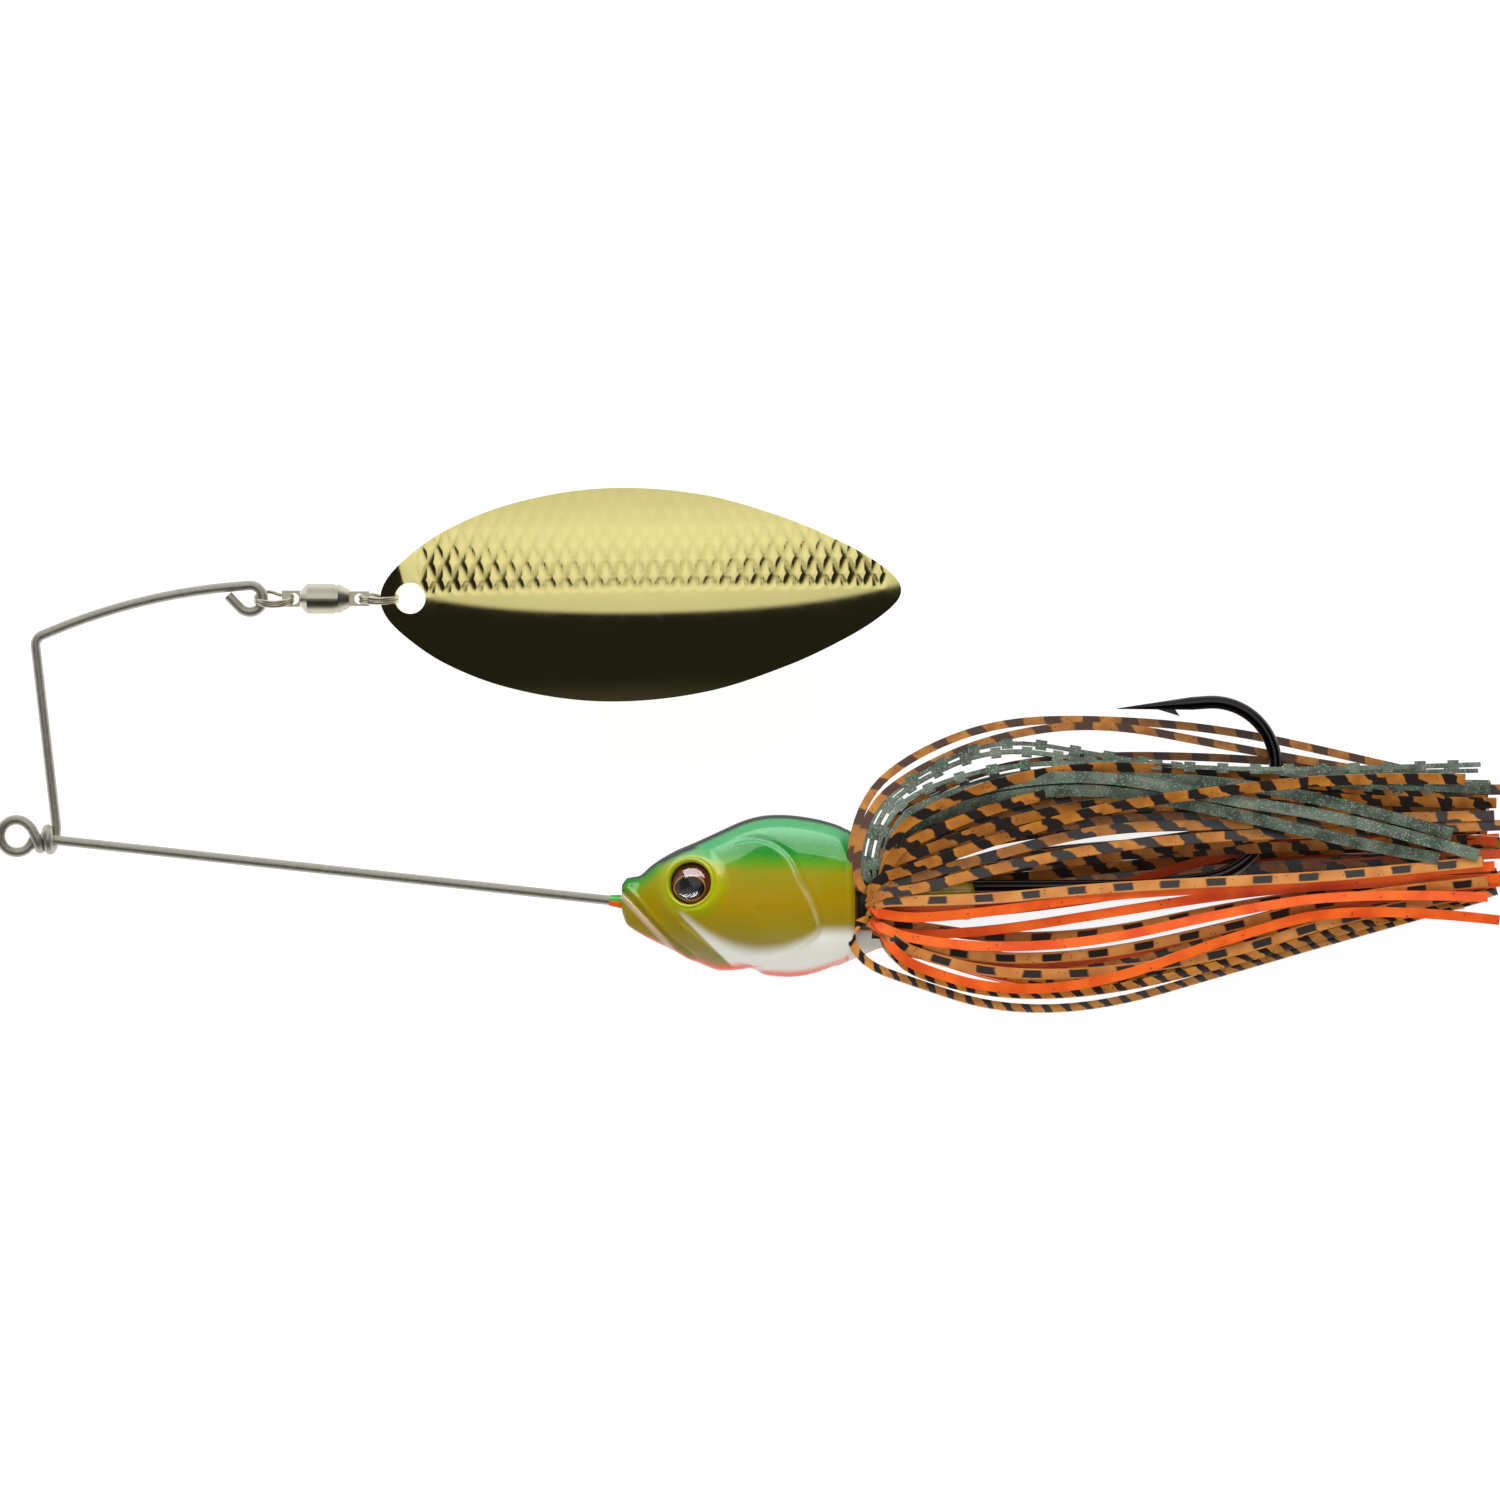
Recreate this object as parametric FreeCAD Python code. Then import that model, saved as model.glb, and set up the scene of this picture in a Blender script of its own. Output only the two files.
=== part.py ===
import FreeCAD, Part
import math
import os

V = FreeCAD.Vector

# Spinnerbait lying on its side. X runs back from the line tie to the skirt's tips, Y runs up from the
# belly to the blade and Z runs across the wire's plane. Millimetres and degrees. The model is drawn
# about the centre of the line tie and moved at the end, so that it stands on Z = 0.

# wire frame
wire_diameter = 0.94
line_tie_inner = 2.20           # bore of the line tie's loop
line_tie_neck_inside = 0.03     # inside of the bend from the lower arm into the loop
wraps_set_back = 0.1            # the loop's neck to the first wrap
line_tie_wraps = 1.5            # turns of the upper arm round the lower arm
wrap_gap = 0.03                 # between wraps, and between a wrap and the arm inside it
lower_arm_length = 58.5         # centre of the line tie to the nose of the head
lower_arm_slope = -6.2
riser_start_height = 0.85       # lower arm's axis to where the riser turns straight
riser_start_lean = 0.12         # share of a wrap's pitch that it leans back on the way
riser_height = 19.0             # centre of the line tie to the corner of the upper arm
riser_set_back = 1.7            # corner of the upper arm, behind the centre of the line tie
riser_corner_inside = 0.53
upper_arm_start_slope = 23.0
upper_arm_end_slope = 4.8
upper_arm_chord = 21.2          # corner to the start of the end eye
upper_arm_radius = 58.0
end_eye_inner = 1.63            # bore of the eye that carries the blade
end_eye_turn = 230.6
end_eye_gap = 0.03              # between the wire's end and the arm that it closes against
anchor_depth = 8.6              # how far the lower arm runs into the head
anchor_bend_inside = 0.53
anchor_rise = 4.6               # the bent end that passes through the hook's eye

# head casting: (distance back from the nose, top, bottom, half thickness), heights from the wire's entry
head_stations = [
    (0.0, 2.0, -1.5, 1.0),
    (2.8, 3.5, -3.6, 3.0),
    (7.3, 5.8, -5.7, 4.7),
    (11.6, 7.8, -6.8, 5.4),
    (15.2, 8.3, -7.2, 5.5),
    (19.5, 7.7, -6.5, 4.7),
    (22.4, 6.4, -5.2, 3.4),
]
keel_stations = [               # the belly's tip, which runs on under the skirt
    (19.0, -2.6, -6.4, 1.9),
    (22.6, -3.5, -5.6, 1.0),
    (26.0, -3.7, -4.5, 0.35),
]
keeper_height = 0.2             # axis of the skirt keeper above the wire's entry
keeper_radius = 1.95
keeper_length = 11.5
keeper_tip = 1.3
eye_back = 6.75                 # eye's centre, back from the nose
eye_up = 1.77
eye_radius = 2.0
eye_seat = 3.45                 # depth of the seat from the middle plane of the head
eye_lean_back = 14.0            # the seat faces forward by this much
eye_lean_down = 8.0             # and upward by this much
foil_thickness = 0.2
dome_height = 0.9
eye_clearance = 0.03

# hook
hook_diameter = 1.28
hook_eye_inner = 2.2
hook_shank_height = 1.47        # shank's axis above the wire's entry
hook_length = 54.3              # centre of the eye to the back of the bend
hook_throat = 41.7              # centre of the eye to where the shank starts to rise
hook_rise_angle = 7.0
hook_rise_radius = 22.0
hook_lower_radius = 8.0
hook_upper_radius = 6.1
hook_height = 18.16             # shank's axis to the spear's line at the back of the bend
spear_length = 15.3             # back of the bend to the point
spear_slope = 4.0
point_length = 7.2              # the tapered part of the spear
point_radius = 0.03
barb_start = 3.0                # distances from the point, along the spear
barb_end = 6.0
barb_back = 5.3
barb_reach = 1.15               # tip of the barb from the spear's axis
barb_thickness = 0.3

# skirt: (distance behind the collar, bottom, top, middle of a side, half thickness)
collar_width = 1.3
collar_thickness = 0.55
gather_thickness = 0.6          # strands gathered under the collar
gather_overhang = 0.3
skirt_gap = 0.3
skirt_rows = ["upper", "middle", "lower"]
skirt_stations = [
    (0.6, -3.1, 3.6, 3.15, 0.65),
    (4.0, -8.2, 12.8, 3.6, 1.15),
    (11.0, -10.1, 16.8, 3.85, 1.4),
    (22.0, -10.0, 17.1, 3.85, 1.4),
    (40.0, -5.2, 14.5, 3.7, 1.3),
    (56.5, -2.0, 9.6, 3.4, 1.1),
    (61.5, -1.4, 8.6, 3.2, 0.9),
]

# split rings
ring_outer = 3.95
ring_wire = 0.36
ring_coil_gap = 0.02
ring_facets = 12                # arcs in one turn of a ring's coil
ring_play = 0.1                 # between a ring and the eye or the blade that it links
ring_seat = 0.07                # the ring's wire from the middle of a swivel plate's hole
front_ring_tilt = 18.0
rear_ring_tilt = 8.0

# ball bearing swivel
plate_thickness = 0.6
shaft_plate_radius = 0.81
shaft_hole_radius = 0.55
shaft_plate_front = 1.1         # plate's end to the hole's centre
shaft_plate_back = 0.64         # hole's centre to the plate's other end
plate_to_barrel = 0.1
shaft_radius = 0.45
shaft_head_radius = 1.05
shaft_head_thickness = 0.5
barrel_radius = 1.45
barrel_bore = 1.15
barrel_length = 3.22
barrel_front_wall = 0.55
barrel_chamfer = 0.6
shaft_play = 0.05
ball_count = 7
ball_radius = 0.3
ball_play = 0.02
tail_spigot = 0.9
tail_spigot_play = 0.01
tail_groove_depth = 0.12
tail_groove_width = 0.35
tail_cone_length = 1.05
tail_cone_end_radius = 0.9
tail_post_radius = 0.74
tail_post_length = 1.92
tail_hole_radius = 0.5
tail_hole_back = 0.92           # hole's centre to the post's end

# willow leaf blade: (distance from the front tip, half width)
blade_outline = [
    (0.45, 1.55),
    (2.4, 3.7),
    (6.2, 6.35),
    (12.0, 8.7),
    (21.6, 10.25),
    (31.3, 9.45),
    (38.9, 7.15),
    (44.7, 4.55),
    (48.6, 2.1),
]
blade_length = 50.1
blade_thickness = 0.45
blade_cup_across = 24.0         # radius of the cup across the blade
blade_cup_along = 137.0         # radius of the cup along the blade
blade_hole_radius = 1.5
blade_hole_margin = 1.4         # front tip to the edge of the hole
blade_slope = 1.0

SIDES = {"near": 1, "far": -1}
TINY = 1e-6


def sloped(angle):
    """Unit vector in the wire's plane at this angle above +X."""
    return V(math.cos(math.radians(angle)), math.sin(math.radians(angle)), 0)


def round_path(corners):
    """Lines and tangent arcs through corners, each a point and a bend radius.

    A corner whose radius is None takes the largest arc that its two runs leave room for.
    """
    points = [point for point, radius in corners]
    edges = []
    start = points[0]
    for before, (corner, radius), after in zip(points, corners[1:-1], points[2:]):
        run_in = corner - before
        run_out = after - corner
        trim_limit = min(run_in.Length, run_out.Length) / 2
        way_in = V(run_in).normalize()
        way_out = V(run_out).normalize()
        half_turn = way_in.getAngle(way_out) / 2
        if half_turn < TINY:
            continue
        trim = trim_limit if radius is None else radius * math.tan(half_turn)
        bend = trim / math.tan(half_turn)
        entry = corner - way_in * trim
        leave = corner + way_out * trim
        inward = (way_out - way_in).normalize()
        middle = corner + inward * (bend / math.cos(half_turn) - bend)
        if (entry - start).Length > TINY:
            edges.append(Part.LineSegment(start, entry).toShape())
        edges.append(Part.Arc(entry, middle, leave).toShape())
        start = leave
    if (points[-1] - start).Length > TINY:
        edges.append(Part.LineSegment(start, points[-1]).toShape())
    return edges


def bent_bar(edges, radius):
    """A round bar along a path of lines and tangent arcs; each face is a cylinder or a torus."""
    first = edges[0]
    start = first.valueAt(first.FirstParameter)
    rim = Part.Circle(start, first.tangentAt(first.FirstParameter), radius).toShape()
    faces = [Part.Face(Part.Wire(rim))]
    for edge in edges:
        if isinstance(edge.Curve, Part.Circle):
            turn = math.degrees(edge.LastParameter - edge.FirstParameter)
            centre = edge.Curve.Center
            axis = edge.Curve.Axis
            faces.append(rim.revolve(centre, axis, turn))
            rim = rim.rotated(centre, axis, turn)
        else:
            step = edge.valueAt(edge.LastParameter) - edge.valueAt(edge.FirstParameter)
            faces.append(rim.extrude(step))
            rim = rim.translated(step)
    faces.append(Part.Face(Part.Wire(rim)))
    shell = Part.makeShell(faces)
    shell.sewShape()
    bar = Part.makeSolid(shell)
    if bar.Volume < 0:
        bar.reverse()
    return bar


def tangent_corners(centre, radius, start_angle, turn, count):
    """Corners whose rounded path is an arc about centre, in the wire's plane."""
    step = turn / count
    reach = radius / math.cos(math.radians(step / 2))
    return [(centre + sloped(start_angle + step * (i + 0.5)) * reach, radius) for i in range(count)]


# ---- places that several pieces share

wire_radius = wire_diameter / 2
lower_arm = sloped(lower_arm_slope)
nose = lower_arm * lower_arm_length
head_length = head_stations[-1][0]
keeper_start = nose + V(head_length, keeper_height, 0)
anchor_corner = nose + lower_arm * anchor_depth
hook_radius = hook_diameter / 2
hook_eye_radius = hook_eye_inner / 2 + hook_radius
hook_eye = V(anchor_corner.x, nose.y + hook_shank_height, 0)

riser_top = V(riser_set_back, riser_height, 0)
half_arm_turn = (upper_arm_start_slope - upper_arm_end_slope) / 2
arm_end = riser_top + sloped(upper_arm_end_slope + half_arm_turn) * upper_arm_chord
end_eye_radius = end_eye_inner / 2 + wire_radius
end_eye = arm_end + sloped(upper_arm_end_slope - 90) * end_eye_radius

ring_radius = (ring_outer - ring_wire) / 2
ring_inner = ring_radius - ring_wire / 2
front_ring = end_eye + V(end_eye_radius - wire_radius - ring_play + ring_inner, 0, 0)
shaft_hole = front_ring + V(ring_radius + ring_seat, 0, 0)
barrel_front = shaft_hole + V(shaft_plate_back + plate_to_barrel, 0, 0)
ball_middle = barrel_front + V(barrel_front_wall + ball_play + ball_radius, 0, 0)
shaft_head = ball_middle + V(ball_radius + ball_play, 0, 0)
tail_front = barrel_front + V(barrel_length, 0, 0)
tail_cone = tail_front + V(tail_groove_width, 0, 0)
tail_post = tail_cone + V(tail_cone_length, 0, 0)
tail_hole = tail_post + V(tail_post_length - tail_hole_back, 0, 0)
rear_ring = tail_hole + V(ring_radius + ring_seat, 0, 0)
blade_tip = rear_ring + V(ring_inner - ring_play - blade_hole_margin, 0, 0)
collar_rear = keeper_start + V(gather_overhang + collar_width, 0, 0)


def cylinder_x(start, radius, length):
    return Part.makeCylinder(radius, length, start, V(1, 0, 0))


def cone_x(start, radius, end_radius, length):
    return Part.makeCone(radius, end_radius, length, start, V(1, 0, 0))


def oval(centre, half_height, half_width):
    """A closed ellipse across X, taller than it is wide."""
    ellipse = Part.Ellipse(centre + V(0, half_height, 0), centre + V(0, 0, half_width), centre)
    return Part.Wire(ellipse.toShape())


def loft_stations(origin, stations):
    """A solid through ovals, each given as distance back, top, bottom and half thickness."""
    ovals = []
    for back, top, bottom, half_width in stations:
        ovals.append(oval(origin + V(back, (top + bottom) / 2, 0), (top - bottom) / 2, half_width))
    return Part.makeLoft(ovals, True)


# ---- the pieces

def wire_frame():
    """One bent wire: anchor in the head, lower arm, line tie, wraps, riser, upper arm and end eye."""
    loop_radius = line_tie_inner / 2 + wire_radius
    neck_radius = wire_radius + line_tie_neck_inside
    joined_radius = loop_radius + neck_radius
    neck = math.sqrt(joined_radius ** 2 - neck_radius ** 2)
    neck_angle = math.degrees(math.asin(neck_radius / joined_radius))
    neck_trim = neck_radius * math.tan(math.radians(45 - neck_angle / 2))
    corners = [
        (anchor_corner + V(0, anchor_rise, 0), None),
        (anchor_corner, wire_radius + anchor_bend_inside),
        (lower_arm * (neck - neck_trim), neck_radius),
    ]

    # clockwise round the loop, rising across the wire's plane to pass over the arm
    wrap_radius = wire_diameter + wrap_gap
    loop = tangent_corners(V(0, 0, 0), loop_radius, lower_arm_slope - neck_angle,
                           2 * neck_angle - 360, 8)
    for i, (point, bend) in enumerate(loop):
        corners.append((point + V(0, 0, wrap_radius * i / (len(loop) - 1)), bend))

    # a helix about the lower arm, which leaves from behind the arm
    up = sloped(lower_arm_slope + 90)
    facets = 8
    reach = wrap_radius / math.cos(math.pi / facets)
    wraps_start = neck + wraps_set_back
    for i in range(int(line_tie_wraps * facets)):
        turns = (i + 0.5) / facets
        angle = 2 * math.pi * (turns + 0.25)
        along = lower_arm * (wraps_start + wrap_radius * turns)
        corners.append((along + up * reach * math.cos(angle) + V(0, 0, reach * math.sin(angle)), None))

    # past the last wrap the wire leans back until it is clear of the wrap before
    leave = lower_arm * (wraps_start + wrap_radius * (line_tie_wraps + riser_start_lean))
    corners.append((leave + up * riser_start_height - V(0, 0, wrap_radius), None))

    arm_run = upper_arm_chord / 2 / math.cos(math.radians(half_arm_turn))
    corners.append((riser_top, wire_radius + riser_corner_inside))
    corners.append((riser_top + sloped(upper_arm_start_slope) * arm_run, upper_arm_radius))
    corners += tangent_corners(end_eye, end_eye_radius, upper_arm_end_slope + 90, -end_eye_turn, 6)
    last_angle = upper_arm_end_slope + 90 - end_eye_turn
    eye_close = end_eye + sloped(last_angle) * end_eye_radius
    turn = math.radians(end_eye_turn)
    room = (end_eye_radius - wire_radius) * (1 - math.cos(turn)) - end_eye_gap
    corners.append((eye_close + sloped(last_angle - 90) * (room / abs(math.sin(turn))), None))
    return bent_bar(round_path(corners), wire_radius)


def hook():
    """Eye across the bend's plane, straight shank, round bend and a spear with its barb."""
    back = hook_eye.x + hook_length
    throat = hook_eye + V(hook_throat, 0, 0)
    rise = (back - throat.x) * math.tan(math.radians(hook_rise_angle))
    low_corner = V(back, throat.y + rise, 0)
    high_corner = V(back, hook_eye.y + hook_height, 0)
    to_point = sloped(180 + spear_slope)
    point = high_corner + to_point * spear_length
    taper_start = point - to_point * point_length
    corners = [
        (hook_eye + V(hook_eye_radius, 0, 0), None),
        (throat, hook_rise_radius),
        (low_corner, hook_lower_radius),
        (high_corner, hook_upper_radius),
        (taper_start, None),
    ]
    bar = bent_bar(round_path(corners), hook_radius)
    eye = Part.makeTorus(hook_eye_radius, hook_radius, hook_eye, V(0, 1, 0))
    taper = Part.makeCone(hook_radius, point_radius, point_length, taper_start, to_point)
    inward = sloped(270 + spear_slope)
    barb_outline = [
        point - to_point * barb_start,
        point - to_point * barb_end + inward * barb_reach,
        point - to_point * barb_back,
        point - to_point * barb_start,
    ]
    barb = Part.Face(Part.makePolygon(barb_outline)).extrude(V(0, 0, barb_thickness))
    barb.translate(V(0, 0, -barb_thickness / 2))
    return bar.fuse([eye, taper, barb]).removeSplitter()


def eye_seat_frame(side):
    """Seat centre and outward axis of the eye on one side of the head."""
    axis = V(-math.sin(math.radians(eye_lean_back)), math.sin(math.radians(eye_lean_down)), 0)
    axis.z = side * math.sqrt(1 - axis.x ** 2 - axis.y ** 2)
    return nose + V(eye_back, eye_up, side * eye_seat), axis


def head_casting(wire, hook_solid):
    """The lead body with its skirt keeper, cast round the wire's anchor and the hook's eye."""
    body = loft_stations(nose, head_stations)
    keel = loft_stations(nose, keel_stations)
    inset = 1.0
    keeper = cylinder_x(keeper_start - V(inset, 0, 0), keeper_radius, keeper_length + inset - keeper_tip)
    tip = cone_x(keeper_start + V(keeper_length - keeper_tip, 0, 0), keeper_radius,
                 keeper_radius - keeper_tip / 2, keeper_tip)
    casting = body.fuse([keel, keeper, tip])
    for side in SIDES.values():
        seat, axis = eye_seat_frame(side)
        casting = casting.cut(Part.makeCylinder(eye_radius + eye_clearance, 2 * eye_radius, seat, axis))
    return casting.cut([wire, hook_solid])


def eye_foil(side):
    seat, axis = eye_seat_frame(side)
    return Part.makeCylinder(eye_radius, foil_thickness, seat, axis)


def eye_dome(side):
    """A clear resin cap on the foil."""
    seat, axis = eye_seat_frame(side)
    base = seat + axis * foil_thickness
    sphere_radius = (eye_radius ** 2 + dome_height ** 2) / (2 * dome_height)
    sphere = Part.makeSphere(sphere_radius, base + axis * (dome_height - sphere_radius))
    return Part.makeCylinder(eye_radius, 2 * dome_height, base, axis).common(sphere)


def skirt_gather():
    """The strands' middle, squeezed round the keeper under the collar."""
    length = collar_width + 2 * gather_overhang
    outer = cylinder_x(keeper_start, keeper_radius + gather_thickness, length)
    return outer.cut(cylinder_x(keeper_start, keeper_radius, length))


def skirt_collar():
    inner = keeper_radius + gather_thickness
    start = keeper_start + V(gather_overhang, 0, 0)
    ring = cylinder_x(start, inner + collar_thickness, collar_width)
    ring = ring.makeFillet(collar_thickness / 2, [edge for edge in ring.Edges if edge.Closed])
    return ring.cut(cylinder_x(start, inner, collar_width))


def skirt_lobe(row, side):
    """One lobe of strands; the rows share the height of each station between them."""
    ovals = []
    for back, bottom, top, middle, half_width in skirt_stations:
        height = (top - bottom - skirt_gap * (len(skirt_rows) - 1)) / len(skirt_rows)
        y = top - height / 2 - row * (height + skirt_gap)
        ovals.append(oval(collar_rear + V(back, y, side * middle), height / 2, half_width))
    return Part.makeLoft(ovals, True)


def split_ring(centre, tilt):
    """Two turns of wire side by side, with one step between them on the far side."""
    pitch = ring_wire + ring_coil_gap
    step = 360 / ring_facets
    reach = ring_radius / math.cos(math.radians(step / 2))
    turn = FreeCAD.Rotation(V(1, 0, 0), 90 + tilt)
    path = []
    for i in range(2 * ring_facets - 1):
        level = -pitch / 2 if i < ring_facets else pitch / 2
        spot = sloped(step * (i + 0.5) - 90) * reach + V(0, 0, level)
        path.append((centre + turn.multVec(spot), None))
    path[0] = ((path[0][0] + path[1][0]) / 2, None)
    path[-1] = ((path[-1][0] + path[-2][0]) / 2, None)
    return bent_bar(round_path(path), ring_wire / 2)


def swivel_plate(start, length, radius, hole, hole_radius):
    """A round post flattened to a plate, with the ring's hole through it."""
    post = cylinder_x(start, radius, length)
    slab = Part.makeBox(length, 2 * radius, plate_thickness,
                        start - V(0, radius, plate_thickness / 2))
    drill = Part.makeCylinder(hole_radius, 2 * radius, hole - V(0, 0, radius))
    return post.common(slab).cut(drill)


def swivel_shaft():
    """Front plate, neck and the head that bears on the balls inside the barrel."""
    plate_start = shaft_hole - V(shaft_plate_front, 0, 0)
    plate_length = shaft_plate_front + shaft_plate_back
    plate = swivel_plate(plate_start, plate_length, shaft_plate_radius, shaft_hole, shaft_hole_radius)
    neck_start = plate_start + V(plate_length, 0, 0)
    neck = cylinder_x(neck_start, shaft_radius, shaft_head.x - neck_start.x)
    head = cylinder_x(shaft_head, shaft_head_radius, shaft_head_thickness)
    return plate.fuse([neck, head]).removeSplitter()


def swivel_balls():
    orbit = (shaft_radius + barrel_bore) / 2
    balls = []
    for i in range(ball_count):
        angle = 2 * math.pi * i / ball_count
        place = V(0, orbit * math.cos(angle), orbit * math.sin(angle))
        balls.append(Part.makeSphere(ball_radius, ball_middle + place))
    return Part.makeCompound(balls)


def swivel_barrel():
    """A sleeve with a closed front wall round the shaft."""
    nose_cone = cone_x(barrel_front, barrel_radius - barrel_chamfer, barrel_radius, barrel_chamfer)
    sleeve_start = barrel_front + V(barrel_chamfer, 0, 0)
    sleeve = cylinder_x(sleeve_start, barrel_radius, barrel_length - barrel_chamfer)
    room = cylinder_x(barrel_front + V(barrel_front_wall, 0, 0), barrel_bore, barrel_length)
    mouth = cylinder_x(barrel_front - V(barrel_front_wall, 0, 0), shaft_radius + shaft_play,
                       3 * barrel_front_wall)
    return nose_cone.fuse(sleeve).cut([room, mouth]).removeSplitter()


def swivel_tail():
    """The plug crimped in the back of the barrel, its cone and the rear plate."""
    spigot = cylinder_x(tail_front - V(tail_spigot, 0, 0), barrel_bore - tail_spigot_play, tail_spigot)
    groove = cylinder_x(tail_front, barrel_radius - tail_groove_depth, tail_groove_width)
    cone = cone_x(tail_cone, barrel_radius, tail_cone_end_radius, tail_cone_length)
    post = swivel_plate(tail_post, tail_post_length, tail_post_radius, tail_hole, tail_hole_radius)
    return spigot.fuse([groove, cone, post]).removeSplitter()


def blade():
    """A willow leaf of sheet brass, cupped both ways, with the ring's hole near its front tip."""
    upper = [V(0, 0, 0)] + [V(along, half_width, 0) for along, half_width in blade_outline]
    lower = [V(along, -half_width, 0) for along, half_width in reversed(blade_outline)]
    outline = Part.BSplineCurve()
    outline.interpolate(upper + [V(blade_length, 0, 0)] + lower, PeriodicFlag=True)
    height = 4 * blade_thickness + blade_cup_across / 2
    leaf = Part.Face(Part.Wire(outline.toShape())).extrude(V(0, 0, 2 * height))
    leaf.translate(V(0, 0, -height))
    middle = blade_length / 2
    tip_drop = blade_cup_along - math.sqrt(blade_cup_along ** 2 - (middle - blade_hole_margin / 2) ** 2)
    crown = tip_drop + blade_thickness / 2
    centre = V(middle, 0, crown - blade_cup_along)
    around = blade_cup_along - blade_cup_across
    outside = Part.makeTorus(around, blade_cup_across, centre, V(0, 1, 0))
    inside = Part.makeTorus(around, blade_cup_across - blade_thickness, centre, V(0, 1, 0))
    hole_middle = V(blade_hole_margin + blade_hole_radius, 0, -height)
    hole = Part.makeCylinder(blade_hole_radius, 2 * height, hole_middle)
    sheet = leaf.common(outside).cut([inside, hole])
    sheet.rotate(V(0, 0, 0), V(0, 0, 1), blade_slope)
    sheet.translate(blade_tip)
    return sheet


def build_parts():
    wire = wire_frame()
    hook_solid = hook()
    parts = {
        "wire_frame": wire,
        "head_casting": head_casting(wire, hook_solid),
        "hook": hook_solid,
        "skirt_gather": skirt_gather(),
        "skirt_collar": skirt_collar(),
        "split_ring_front": split_ring(front_ring, front_ring_tilt),
        "swivel_shaft": swivel_shaft(),
        "swivel_balls": swivel_balls(),
        "swivel_barrel": swivel_barrel(),
        "swivel_tail": swivel_tail(),
        "split_ring_rear": split_ring(rear_ring, rear_ring_tilt),
        "blade": blade(),
    }
    for name, side in SIDES.items():
        parts["eye_foil_" + name] = eye_foil(side)
        parts["eye_dome_" + name] = eye_dome(side)
        for row, row_name in enumerate(skirt_rows):
            parts["skirt_" + row_name + "_" + name] = skirt_lobe(row, side)
    return parts


def main():
    parts = build_parts()
    whole = Part.makeCompound(list(parts.values())).optimalBoundingBox()
    to_origin = V(-whole.Center.x, -whole.Center.y, -whole.ZMin)
    os.makedirs("parts", exist_ok=True)
    for name, shape in parts.items():
        shape.translate(to_origin)
        shape.exportStep("parts/" + name + ".step")
        print(name, len(shape.Solids), "solids", round(shape.Volume, 3), "mm3", shape.isValid())
    places = {
        "line tie": V(0, 0, 0),
        "end eye": end_eye,
        "front ring": front_ring,
        "ball middle": ball_middle,
        "rear ring": rear_ring,
        "ring radius": V(ring_radius, 0, 0) - to_origin,
        "nose": nose,
        "hook eye": hook_eye,
    }
    for name, place in places.items():
        print(name, [round(value, 3) for value in place + to_origin])
    print("size", [round(value, 2) for value in (whole.XLength, whole.YLength, whole.ZLength)])


main()
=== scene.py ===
import math
import random

import bpy
import numpy as np
from mathutils import Matrix, Vector


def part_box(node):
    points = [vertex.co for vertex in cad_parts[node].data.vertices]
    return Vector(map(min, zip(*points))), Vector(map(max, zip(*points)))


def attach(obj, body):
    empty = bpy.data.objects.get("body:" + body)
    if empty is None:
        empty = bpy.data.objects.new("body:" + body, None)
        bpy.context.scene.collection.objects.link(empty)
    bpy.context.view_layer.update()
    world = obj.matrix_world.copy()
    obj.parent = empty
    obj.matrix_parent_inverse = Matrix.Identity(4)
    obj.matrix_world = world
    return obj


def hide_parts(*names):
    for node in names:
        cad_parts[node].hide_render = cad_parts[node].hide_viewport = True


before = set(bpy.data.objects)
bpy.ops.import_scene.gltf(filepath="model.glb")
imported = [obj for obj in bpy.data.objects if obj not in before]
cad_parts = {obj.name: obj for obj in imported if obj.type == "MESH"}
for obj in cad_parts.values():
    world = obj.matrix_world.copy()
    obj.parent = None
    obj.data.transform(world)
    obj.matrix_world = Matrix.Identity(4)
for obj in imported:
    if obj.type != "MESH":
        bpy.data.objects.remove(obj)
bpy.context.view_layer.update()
MM = 0.001

# ---- places taken from the frame


def middle(node):
    """Centre of a CAD node's box."""
    low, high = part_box(node)
    return (low + high) / 2


KEEPER_HEIGHT = 0.2 * MM            # skirt keeper's axis above the wire's entry
AXIS = middle("skirt_gather")       # the keeper's axis passes through this point
NOSE = Vector((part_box("head_casting")[0].x, AXIS.y - KEEPER_HEIGHT, AXIS.z))
COLLAR_REAR = Vector((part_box("skirt_collar")[1].x, AXIS.y, AXIS.z))
BLADE_TIP = Vector((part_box("blade")[0].x, middle("split_ring_rear").y, middle("split_ring_rear").z))
SIDES = {"near": 1, "far": -1}

# ---- small helpers


def colour(red, green, blue):
    """A linear colour from 0-255 display values."""
    levels = [value / 255 for value in (red, green, blue)]
    return tuple(v / 12.92 if v <= 0.04045 else ((v + 0.055) / 1.055) ** 2.4 for v in levels) + (1.0,)


def deselect():
    if bpy.context.mode != "OBJECT":
        bpy.ops.object.mode_set(mode="OBJECT")
    bpy.ops.object.select_all(action="DESELECT")


def only(*pieces):
    """Selects these objects and makes the first one active."""
    deselect()
    for piece in pieces:
        piece.select_set(True)
    bpy.context.view_layer.objects.active = pieces[0]


def settle(piece):
    """Puts the piece's place in its mesh."""
    only(piece)
    bpy.ops.object.transform_apply(location=True, rotation=True, scale=True)


def apply_modifier(piece, kind, **settings):
    only(piece)
    modifier = piece.modifiers.new(kind.lower(), kind)
    for key, value in settings.items():
        setattr(modifier, key, value)
    bpy.ops.object.modifier_apply(modifier=modifier.name)


def join(name, pieces):
    only(*pieces)
    if len(pieces) > 1:
        bpy.ops.object.join()
    joined = bpy.context.view_layer.objects.active
    joined.name = name
    joined.data.name = name
    return joined


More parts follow.
